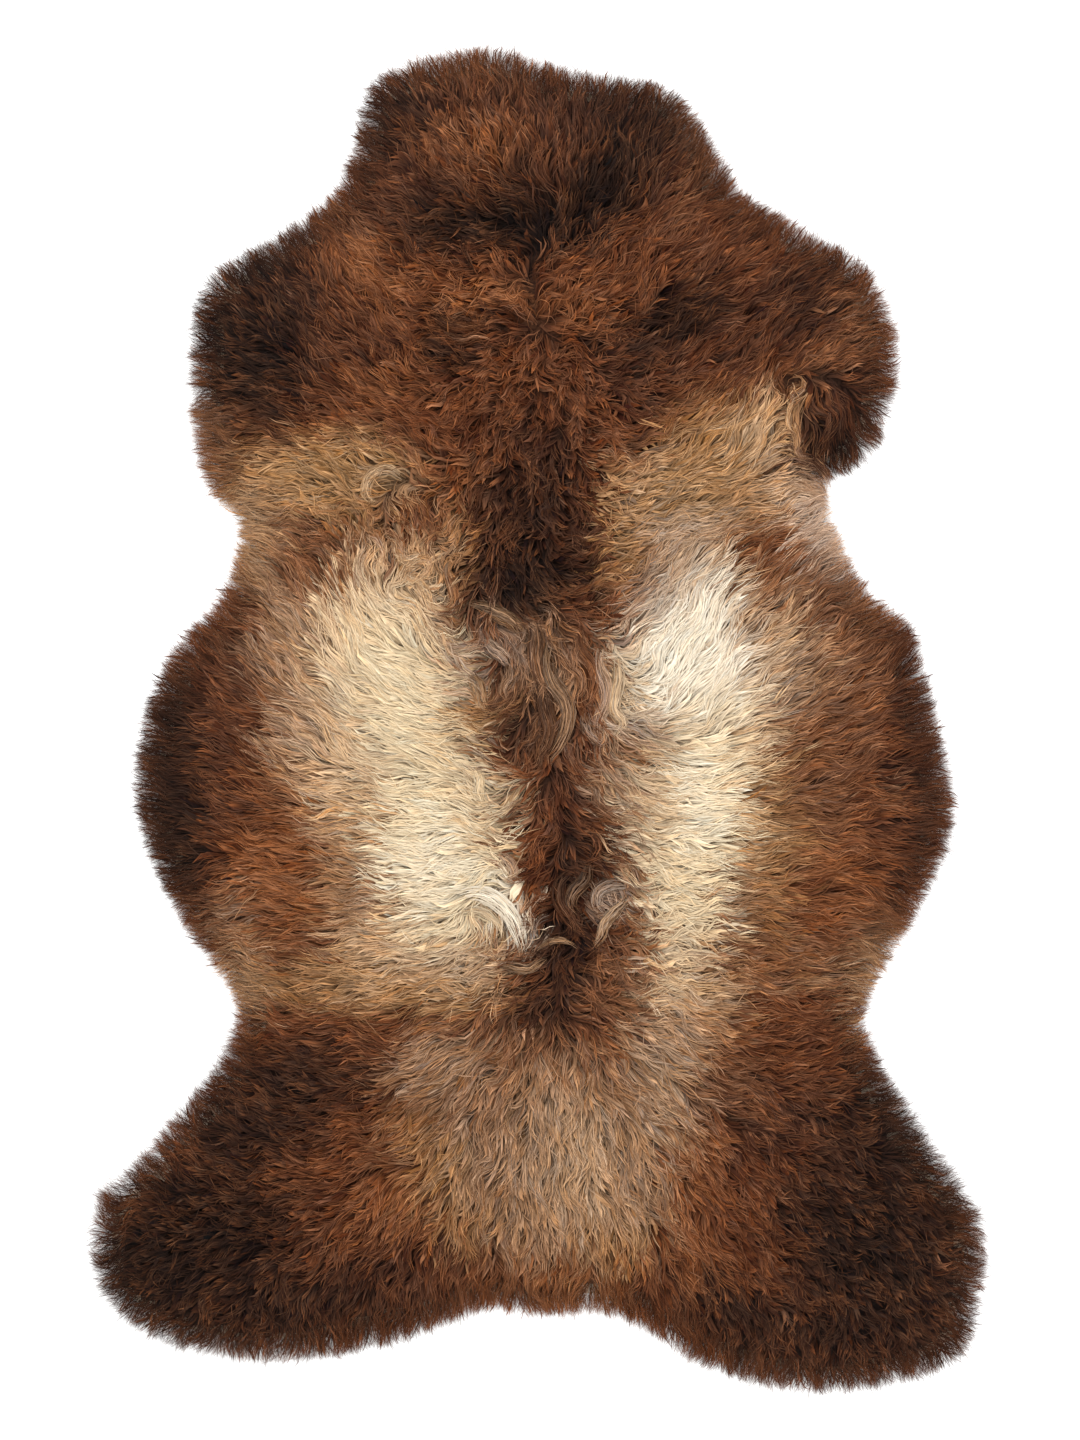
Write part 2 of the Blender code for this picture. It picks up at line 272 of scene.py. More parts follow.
# colours of the wool, as seen
WOOL = {
    "black": (26, 15, 10),
    "dark": (42, 25, 17),
    "chocolate": (66, 39, 26),
    "chestnut": (90, 52, 31),
    "rust": (122, 76, 46),
    "brown": (116, 80, 56),
    "olive": (154, 118, 80),
    "taupe": (156, 128, 102),
    "grey": (176, 156, 138),
    "sand": (184, 150, 114),
    "tan": (204, 174, 138),
    "cream": (226, 206, 170),
    "white": (238, 226, 204),
    "peach": (212, 184, 160),
}

# The markings, painted one over the other: centre, heading, half length and half width in
# centimetres and degrees, the wool's colour there, and how much of it there is.
# The hollows, the left flank's fold and the foreleg lobe's end are painted shade, not the wool's own colour.
MARKINGS = [
    # place                      x      y  heading length width  colour       share
    ("whole skin",               0,     0,    0,  90,   90,   "chestnut",  1.0),
    ("neck",                     0,    47,    0,  20,    8,   "chocolate", 0.9),
    ("neck corner",            -11,    47,    0,   3,    3,   "dark",      0.7),
    ("neck front",              -5,  50.3,    0,   6,    1.6, "rust",      0.5),
    ("neck middle",             -5,  44.5,    0,   5,    2.4, "rust",      0.6),
    ("neck, right",              6,  43.6,   60,   5,    3.4, "black",     0.85),
    ("neck, right margin",      11,    46,  -60,   4,    1.8, "brown",     0.35),
    ("crinkled neck",           -4,  38.4,    0,   9,    2.8, "black",     0.9),
    ("crinkled neck, right",     4,    39,   15,   4,    2,   "black",     0.7),
    ("neck side, left",        -12.5,  41,  -60,   4,    2,   "chocolate", 0.7),
    ("neck streak, left",      -14.5,  38,  -60,   2.6,  1.0, "brown",     0.7),
    ("neck streak, right",     11.5,   41,   50,   3,    1,   "brown",     0.6),
    ("left shoulder",          -21,    31,   80,   9,    5,   "dark",      0.9),
    ("left shoulder, black",   -23,  28.5,   85,   6,    3.6, "black",     0.8),
    ("left shoulder, front",   -17,    35,   40,   4,    2,   "chocolate", 0.6),
    ("left shoulder, inner",   -13.5, 34.5, -60,   3.6,  2.2, "rust",      0.7),
    ("left shoulder, middle",  -14.5,  29,    0,   5,    3,   "chocolate", 0.6),
    ("left shoulder, gold",    -12,    26,    0,   3.4,  1.8, "rust",      0.6),
    ("left shoulder, rim",     -26.6,  22,   90,   3.4,  1.6, "brown",     0.85),
    ("chest front",             -5,  32.4,    0,   5,    1.3, "rust",      0.8),
    ("chest parting",           -7,  30.7,    0,   3.6,  0.7, "black",     0.6),
    # painted shade in the chest's hollow
    ("chest hollow, painted shade",            -7,  28.6,    0,   3,    1,   "black",     0.7),
    ("chest front, right",       3,    32,   10,   4,    2.2, "rust",      0.45),
    ("chest",                   -4,    24,    0,   7,    3.6, "chestnut",  0.8),
    ("chest, dark",              0,    22,    0,   4,    2,   "chocolate", 0.6),
    ("chest, right",             7,    29,    0,   3.6,  1.8, "dark",      0.6),
    ("chest, right side",        8,    26,   20,   4,    2.4, "chocolate", 0.8),
    # painted shade in the right shoulder's hollow
    ("right shoulder, hollow, painted shade",  11,    31,   50,   3.6,  2.6, "black",     0.75),
    ("right shoulder, front",   15,    36,  -25,   6,    2.8, "chocolate", 0.3),
    ("right shoulder",          17,  30.5,   20,   5,    2.6, "chocolate", 0.8),
    ("right shoulder, dark",    21,    33,   20,   3.6,  2.6, "dark",      0.7),
    ("right shoulder, margin",  24.6,  31,   90,   3.6,  2,   "brown",     0.5),
    ("foreleg lobe, inner",     21.6,  27,   80,   2.6,  1.8, "brown",     0.6),
    ("left armpit",            -17,    19,    0,   7.5,  3.4, "olive",     0.95),
    ("left armpit, rim",       -22.6,  16,   80,   4,    2.2, "sand",      0.8),
    ("left armpit, low",       -18,  13.2,    0,   2.4,  1.6, "brown",     0.6),
    ("left armpit, flank",     -21.6,  12.4,   60,   3,    2, "sand",      0.6),
    ("whorl",                  -12,    18,   30,   3,    2,   "sand",      0.4),
    ("whorl, below",           -13,  13.2,    0,   3.4,  2,   "tan",       0.6),
    ("withers, left",           -7,    18,  -60,   4,    2.4, "rust",      0.5),
    ("withers",                 -1,  13.5,   90,   8,    4.4, "dark",      0.85),
    ("withers, darkest",      -0.5,  10.4,    0,   4.4,  2.2, "black",     0.7),
    ("withers, left edge",    -6.8,  13.4,  -65,   3.4,  1.6, "olive",     0.6),
    ("withers, low",          -8.6,  10.2,  -40,   2.6,  1.8, "olive",     0.7),
    ("right armpit",            13,    19,   40,   8,    4.6, "olive",     0.9),
    ("right armpit, pale",      16.8, 22.4,  80,   3.6,  2.6, "sand",      0.9),
    ("right of the chest",       8,  18.6,   60,   3.4,  2.4, "sand",      0.6),
    ("right of the withers",     6,    14,   80,   4,    2,   "olive",     0.8),
    ("right armpit, grey",      11,  14.8,   10,   3.4,  1.8, "grey",      0.6),
    ("right armpit, spot",      17,    13,    0,   2.4,  1.6, "rust",      0.35),
    ("right armpit, rim",       21.4,  15.5, -60,  5.4,  2.6, "peach",     0.9),
    ("right armpit, low",       18.6,  17.4,   20, 3.4,  1.8, "sand",      0.6),
    ("foreleg lobe",            24,  23.4,   80,   4.6,  3,   "chocolate", 0.95),
    # painted shade: the dark crescent at the foreleg lobe's lower end
    ("foreleg lobe, end, painted shade",     22.4,  21.0,  -15,   2.4,  1.3, "dark",      0.9),
    ("right flank, upper",      19,     9,   70,   4.6,  3,   "brown",     0.8),
    ("right flank, grey",       20,     4,   90,   5,    2.8, "taupe",     0.8),
    ("right flank, outer",      24,     4,   80,   6.5,  2.8, "brown",     0.8),
    ("right back, tan",       14.5,    10,  -60,   4.4,  2.6, "tan",       0.6),
    ("right back, white",     11.4,   5.4,   90,   7,    5,   "white",     1.0),
    ("right back, outer",     15.4,   1.6,   90,   4,    3,   "white",     0.7),
    ("right back, side",        17.6,   4.6,   75,   6,  1.8, "tan",       0.6),
    ("right back, inner",      6.6,   2.4,   90,   3.6,  2,   "cream",     0.6),
    ("right loin, cream",     13.2,    -6,   85,   8,    4.2, "cream",     1.0),
    ("right loin, white",     12.4,  -6.4,   85,   4.6,  2.2, "white",     0.6),
    ("right loin, inner",        8.2,  -6.4,   80,   5,  1.8, "cream",     0.7),
    ("right loin, outer",         17,  -3.6,   85,   5,  1.6, "tan",       0.7),
    ("right loin, low",       11.4, -14.5,   85,   6,    4,   "cream",     0.9),
    ("right loin, end",         10,   -20,   75,   4,    3.4, "tan",       0.8),
    ("right loin, tan",       14.6, -21.5,   70,   3.4,  2.4, "sand",      0.6),
    ("right flank, olive",    18.4,   -10,   90,   8,    2,   "olive",     0.75),
    ("right flank",             22,    -6,   85,   5,    2.6, "brown",     0.7),
    ("right flank, red",      22.4, -12.5,   80,   5,    3.4, "rust",      0.5),
    ("right flank, low",      20.6,   -19,    0,   4,    2.4, "brown",     0.6),
    ("right flank, streak",   20.6, -19.6,   20,   2.4,  0.8, "sand",      0.5),
    ("right flank, rim",        29,    -1,   95,   9,    2.6, "chocolate", 0.85),
    ("right flank, rim, low", 29.4,   -9,   80,   4.6,  1.8, "chocolate", 0.8),
    ("right flank, spot",       27,    -5,   80,   2.2,  0.7, "taupe",     0.5),
    ("right waist, above",    25.6,   -16,   60,   2.6,  1.6, "brown",     0.7),
    ("right waist",           26.2, -20.5,   85,   4.4,  2,   "sand",      0.8),
    ("right waist, inner",        14,   -28,  -20, 4.6,    3, "brown",     0.7),
    ("below the waist, right",  20,   -25,    0,   5,    2,   "chocolate", 0.2),
    ("left back, tan",         -13,     9,   20,   6,    3.6, "tan",       0.85),
    ("left back, cream",       -12,     3,   95,   7,    5.6, "cream",     0.95),
    ("left back, middle",       -9,  -1.5,   90,   5.6,  4,   "cream",     0.7),
    ("left back, outer",     -17.4,     3,   80,   6,    2.6, "tan",       0.6),
    ("left back, inner",        -6,     4,   90,   3.4,  1.6, "grey",      0.5),
    ("left flank, upper",      -21,     7,   70,   5,    2.4, "taupe",     0.8),
    ("left flank, grey",     -19.4,    -1,   85,   4.6,  2,   "taupe",     0.7),
    ("left back, shade",       -16.4,    -4,   85,   5,  2.2, "tan",       0.9),
    ("left flank, outer",      -25,     3,   75,   5.4,  2.4, "chocolate", 0.7),
    ("left flank, rim",        -29,    -5,   90,  10,    3,   "dark",      0.95),
    # painted shadow: the dark line where the left flank's edge folds under
    ("left flank, painted fold shadow",       -27,    -8,   80,   5,    1.4, "black",     0.6),
    ("left flank, middle",     -24,    -4,   85,   6,    2,   "chocolate", 0.6),
    ("left loin, cream",      -9.4,    -8,   95,   7.5,  5.2, "cream",     1.0),
    ("left loin, low",        -7.4,   -14,  100,   5.4,  4.6, "cream",     0.95),
    ("left loin, white",      -8.6, -10.5,   95,   4.6,  3,   "white",     0.5),
    ("left loin, inner",          -4,  -8.6,   90,   5,  1.8, "cream",     0.75),
    ("left loin, tan",         -13,   -17,   30,   4.4,  3,   "tan",       0.75),
    ("left flank",           -20.4,    -9,   85,   5.5,  3,   "rust",      0.6),
    ("left flank, low",      -19.6, -13.6,   80,   4,    3,   "rust",      0.7),
    ("left flank, inner",    -15.8, -11.5,   85,   5,    1.8, "sand",      0.6),
    ("left waist, above",      -24, -14.6,   85,   3,    1.6, "taupe",     0.6),
    ("left waist",             -23, -20,     90,   3.6,  2,   "sand",      0.7),
    ("left of the waist",    -17.6,   -20,    0,   4.6,  2,   "olive",     0.75),
    ("below the loin, left",   -10, -21.5,    0,   4.6,  1.8, "olive",     0.8),
    ("below the loin, pale",    -6,   -20,    0,   3,    1.6, "tan",       0.6),
    ("below the loin, mid",       -4,   -22,    0,   3,  1.2, "olive",     0.5),
    ("below the loin, left",     -11, -19.4,    0,   3,  1.4, "tan",       0.5),
    ("spine",                  0.4,     3,   90,   6,    3,   "taupe",     0.6),
    ("spine, lilac",          -2.6,     6,   45,   2.2,  1.4, "grey",      0.45),
    ("spine, top",               2,     7,   90,   2,    1.6, "brown",     0.6),
    # painted shade in the spine's hollow
    ("spine, hollow, painted shade",         -1.8,  -0.4,    0,   3,    2.2, "dark",      0.6),
    ("spine, left",           -5.4,     0,   40,   2.6,  1.6, "olive",     0.7),
    ("spine, pale curls",      6.4,  -0.6,   20,   2.2,  1.2, "grey",      0.6),
    ("spine, right",           5.8,  -4.6,   80,   3.2,  2.2, "taupe",     0.75),
    ("spine, low",             2.2,  -6.6,   90,   6,    2.2, "chocolate", 0.8),
    ("spine, lowest",          3.4, -11.4,   85,   3.4,  2.6, "dark",      0.7),
    ("spine, curls",             5, -13.6,   30,   2.2,  1.1, "grey",      0.7),
    ("loin",                     2,   -18,   80,   4.6,  3.6, "dark",      0.85),
    # painted shade in the loin's hollow
    ("loin, hollow, painted shade",             0, -22.6,   10,   4.2,  1.6, "dark",      0.75),
    ("loin, right",            6.4,   -20,   80,   3.4,  2,   "brown",     0.7),
    ("loops",                 -2.6, -14.4,  -55,   4,    1.1, "white",     0.75),
    # painted shade inside the loops
    ("loops, hollow, painted shade",         -3.6, -15.2,  -55,   2,    0.5, "taupe",     0.8),
    ("rump, top",                0,   -27,    0,   6,    3,   "brown",     0.8),
    ("rump, top, left",         -8, -26.5,   10,   4.4,  2.6, "taupe",     0.75),
    ("rump, top, right",       9.4, -26.6,   70,   4.4,  3.6, "taupe",     0.9),
    ("rump",                     2,   -35,   90,   8.4,  6.4, "sand",      0.55),
    ("rump, grey",               0,   -34,   90,   7.4,  6,   "taupe",     0.6),
    ("rump, right",            9.6,   -31,   60,   3.6,  3,   "taupe",     0.8),
    ("rump, pale",               4,   -34,   90,   4.6,  3,   "tan",       0.3),
    ("rump, left part",         -6.4, -33.4,   80,   5,  2.2, "taupe",     0.6),
    ("rump, right part",         8.4, -36.6,   80, 4.4,    2, "taupe",     0.7),
    ("rump, left",            -9.4, -33.6,  -70,   4.4,  2.8, "olive",     0.7),
    ("rump, low left",          -6,   -39,    0,   3.4,  2.2, "olive",     0.6),
    ("rump, low right",          6,   -41,    0,   3,    2.4, "olive",     0.7),
    ("left haunch",            -19,   -28,   10,   6,    3.6, "dark",      0.85),
    ("left haunch, dark",    -22.6,   -31,   40,   5,    3.6, "dark",      0.9),
    ("left haunch, red",       -16, -35.6,   20,   5.4,  3,   "chestnut",  0.5),
    ("left haunch, inner",     -12,   -38,   70,   4,    3,   "rust",      0.6),
    ("left hind leg",        -27.6, -40.4,   15,   9,    6,   "black",     0.85),
    ("left hind foot, rim",    -33,   -38,   80,   3,    1.4, "chestnut",  0.6),
    ("left hem, inner",        -12,   -43,    0,   6,    2.4, "chocolate", 0.8),
    ("left hem",               -20,   -45,    0,   8,    3,   "dark",      0.9),
    ("left hem, tips",       -18.6,   -49,    3,  10,    0.9, "chestnut",  0.8),
    ("tail",                     1, -44.2,    0,   6.4,  1.7, "rust",      0.7),
    ("right haunch, inner",   11.6,   -36,   80,   4.4,  2.6, "rust",      0.7),
    ("right haunch, red",       16,   -38,    0,   4,    3,   "chestnut",  0.8),
    ("right haunch",            19,   -32,  -45,   5.4,  3.4, "chocolate", 0.85),
    ("right haunch, dark",      26,   -32,  -60,   6,    3.4, "dark",      0.9),
    ("right hind leg",          26,   -41,  -50,   8.4,  7,   "dark",      0.9),
    ("right hind leg, black",   25,   -40,  -50,   6,    4.6, "black",     0.6),
    ("right hem, inner",      14.6,   -45,  -30,   4.4,  2.2, "dark",      0.8),
    ("right hem",               21,   -47,    0,   8,    3,   "dark",      0.8),
    ("right hind foot, rim",  33.6,   -43,   90,   4,    1.1, "chestnut",  0.8),
    ("right hem, tips",         20, -51.4,    0,  10,    0.9, "chestnut",  0.7),
    ("right hem, red",          12,   -42,  -60,   2.6,  1.8, "rust",      0.6),
]

MARKING_CORE, MARKING_END = 0.4, 1.45  # where a marking begins to fade and where it ends
MARKING_BEND = 0.006


def linear(colour):
    """A colour as seen, from 0 to 1, as the share of light that it stands for."""
    share = np.clip(colour, 0.02, 0.97)
    return np.where(share <= 0.04045, share / 12.92, ((share + 0.055) / 1.055) ** 2.4)


def wool_colour(x, y):
    """The wool's colour at these places, as seen, from 0 to 1."""
    colour = np.zeros((len(x), 3))
    bend_x, bend_y = waves(x, y, 12, 31) * MARKING_BEND, waves(x, y, 12, 32) * MARKING_BEND
    for _, centre_x, centre_y, heading, length, width, name, share in MARKINGS:
        angle = math.radians(heading)
        run_x = x + bend_x - TABLE_MIDDLE[0] - centre_x * CM
        run_y = y + bend_y - TABLE_MIDDLE[1] - centre_y * CM
        along = (run_x * math.cos(angle) + run_y * math.sin(angle)) / (length * CM)
        across = (run_y * math.cos(angle) - run_x * math.sin(angle)) / (width * CM)
        cover = share * (1 - smooth_step(np.hypot(along, across), MARKING_CORE, MARKING_END))
        colour += (np.array(WOOL[name]) / 255 - colour) * cover[:, None]
    return colour


# how much the tone of the wool varies, from dark wool to pale: brightness, variety
VARIETY = [(0.08, 0.9), (0.3, 1.3), (0.5, 1.25), (0.75, 0.6), (0.9, 0.4)]
FIBRE_SHADE = (0.42, 0.36, 0.31)  # tone of the darkest fibres beside the lightest
FIBRE_LOSS = 0.3  # how much light the dark fibres take away in all
WOOL_LIGHT = 0.78  # how much of the light that its colour stands for the wool gives back
FIBRE_STRENGTH = 0.9


def variety(pale):
    """How much the tone varies in wool of this brightness."""
    return np.interp(pale, *zip(*VARIETY))


def wool_material(name, own_map, scale):
    """Wool: its colour comes from the mesh, broken by dark and light fibres, and it is dull."""
    material, tree, shader = principled(name)
    colour = tree.nodes.new("ShaderNodeAttribute")
    colour.attribute_name = "wool"
    noise = noise_on(tree, scale, 2.0, own_map)
    fibres = ramp_of(tree, noise.outputs["Fac"], (0.36, FIBRE_SHADE), (0.62, (1.0, 1.0, 1.0)))
    strength = tree.nodes.new("ShaderNodeMix")
    strength.data_type = "RGBA"
    strength.inputs["A"].default_value = (1, 1, 1, 1)
    tree.links.new(colour.outputs["Alpha"], strength.inputs["Factor"])
    tree.links.new(fibres.outputs["Color"], strength.inputs["B"])
    mix = tree.nodes.new("ShaderNodeMix")
    mix.data_type = "RGBA"
    mix.blend_type = "MULTIPLY"
    mix.inputs["Factor"].default_value = 1.0
    tree.links.new(colour.outputs["Color"], mix.inputs["A"])
    tree.links.new(strength.outputs["Result"], mix.inputs["B"])
    tree.links.new(mix.outputs["Result"], shader.inputs["Base Color"])
    shader.inputs["Roughness"].default_value = 0.65
    shader.inputs["Specular IOR Level"].default_value = 0.06
    return material


def undercoat_mesh():
    """A grid over the rug, cut to the rim and set to the fleece's height, closed down to the hide."""
    body = bmesh.new()
    reach = np.array(cad_high[:2]) - np.array(cad_low[:2])
    columns, rows = (int(n / UNDERCOAT_PITCH) for n in reach)
    bmesh.ops.create_grid(body, x_segments=columns, y_segments=rows, size=0.5)
    bmesh.ops.scale(body, verts=body.verts, vec=(columns * UNDERCOAT_PITCH, rows * UNDERCOAT_PITCH, 1))
    places = np.array([v.co for v in body.verts])
    distance = fleece.read(fleece.distance, places[:, 0], places[:, 1])
    outside = [v for v, d in zip(body.verts, distance) if d < UNDERCOAT_INSET]
    bmesh.ops.delete(body, geom=outside, context="VERTS")
    places = np.array([v.co for v in body.verts])
    height = fleece.read(fleece.height, places[:, 0], places[:, 1]) - UNDERCOAT_DEPTH
    height += 0.0016 * waves(places[:, 0], places[:, 1], 45, 5)
    for v, level in zip(body.verts, height):
        v.co.z = max(level, HIDE_THICKNESS + 0.002)
    loose = [edge for edge in body.edges if edge.is_boundary]
    wall = bmesh.ops.extrude_edge_only(body, edges=loose)["geom"]
    for v in wall:
        if isinstance(v, bmesh.types.BMVert):
            v.co.z = HIDE_THICKNESS + HIDE_LIFT
    floor = [edge for edge in wall if isinstance(edge, bmesh.types.BMEdge) and edge.is_boundary]
    bmesh.ops.triangle_fill(body, edges=floor, use_beauty=True)
    bmesh.ops.recalc_face_normals(body, faces=body.faces)
    for face in body.faces:
        face.smooth = True
    return body


def paint(mesh, colour):
    """Writes the wool's colour on the mesh's points, and how strongly its fibres show."""
    layer = mesh.color_attributes.new("wool", "FLOAT_COLOR", "POINT")
    strength = np.clip(FIBRE_STRENGTH * variety(colour.mean(axis=1)), 0, 1)[:, None]
    light = np.hstack([WOOL_LIGHT * linear(colour) / (1 - FIBRE_LOSS * strength), strength])
    layer.data.foreach_set("color", light.ravel().astype(np.float32))


undercoat = finished("undercoat", undercoat_mesh(), wool_material("undercoat_wool", None, 400.0))
undercoat_places = np.array([v.co for v in undercoat.data.vertices])
undercoat_colour = wool_colour(undercoat_places[:, 0], undercoat_places[:, 1])
# painted shade: the undercoat is darker than the wool over it, less so under pale wool
undercoat_shade = UNDERCOAT_SHADE[0] + UNDERCOAT_SHADE[1] * undercoat_colour.mean(axis=1, keepdims=True)
paint(undercoat.data, undercoat_colour * undercoat_shade)
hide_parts("sheepskin")

# The fleece. Staples of long wool grow out of the undercoat, lie over along the body as they were
# combed and end in fine points. They are laid on in four coats of staples, each of a few flat
# locks whose streaks are the fibres, and one coat of single loose hairs.
# The tone column sets the lower coats darker, as painted shade under the coats above them.
COATS = [
    # name         seed spacing locks gap points width  root   tip  tone  loose
    ("fleece_low",    1,   9.6,    2, 3.0,    4,   4.2,  9.0, -3.0, -0.05,  1.0),
    ("fleece_mid",    2,   9.0,    2, 2.4,    5,   3.2,  7.5, -1.6, -0.02,  1.0),
    ("fleece_high",   3,   9.2,    3, 1.4,    5,   1.7,  6.5, -0.4, -0.01,  1.0),
    ("hair_low",      4,  10.0,    5, 0.9,    5,   0.6,  5.5,  0.6,  0.00,  1.1),
    ("hair_high",     5,  10.0,    5, 0.9,    5,  0.55,  5.0,  1.4,  0.01,  1.2),
    ("loose_hair",    6,   8.0,    1, 0.9,    5,   0.5,  5.0,  2.2,  0.02,  2.2),
]
LOCK_STAGGER = 0.006  # how far one lock of a staple starts before another
LOCK_TURN = 0.05
LOCK_TAPER = [(0.0, 0.75), (0.35, 1.0), (0.75, 0.75), (1.0, 0.2)]
STAPLE_GATHER = 0.6  # how far the locks come together at the tip
RIM_ZONE = 0.02  # near the rim the locks are looser and finer
RIM_FINENESS = 0.3
EDGE_STRAY = 0.003  # how unevenly the wool ends at the rim
FIBRE = 0.0010  # width of the streaks that stand for the fibres
FIBRE_RUN = 0.014  # and their length
STAPLE_TONE = 0.03
LOCK_TONE = 0.03
TONE_TINT = (1.0, 0.86, 0.72)  # lighter wool is warmer too
WARMTH = (0.03, 0.0, -0.03)  # how far a staple's colour strays to the warm or the cool side
ROOT_SHADE = (0.62, 0.42)  # painted shade: tone of a lock's root beside its middle, and what pale wool adds
TIP_GLOW = (0.10, 0.060, 0.030)  # what the sun has added to the tips of dark wool
MOTTLE = [(22, 0.8), (52, 0.5)]  # patches of bleached tips: how many to the metre, and how strong
COLOUR_STRAY = (0.010, 0.004)  # how far a staple's colour strays along the wool and across it
COLOUR_MIX = 0.003  # and each of its locks
RIPPLES = [(12, 0.6), (28, 1.0), (55, 0.9)]  # ripples in the comb: how many to the metre, and their share
RUFFLE = (35, 1.4)  # where the comb has no clear way: ruffles to the metre, and how far they turn it
TUFTS = (30, 0.0014, 0.02)  # tufts to the metre, their height, and how much darker the hollows are painted, as shade

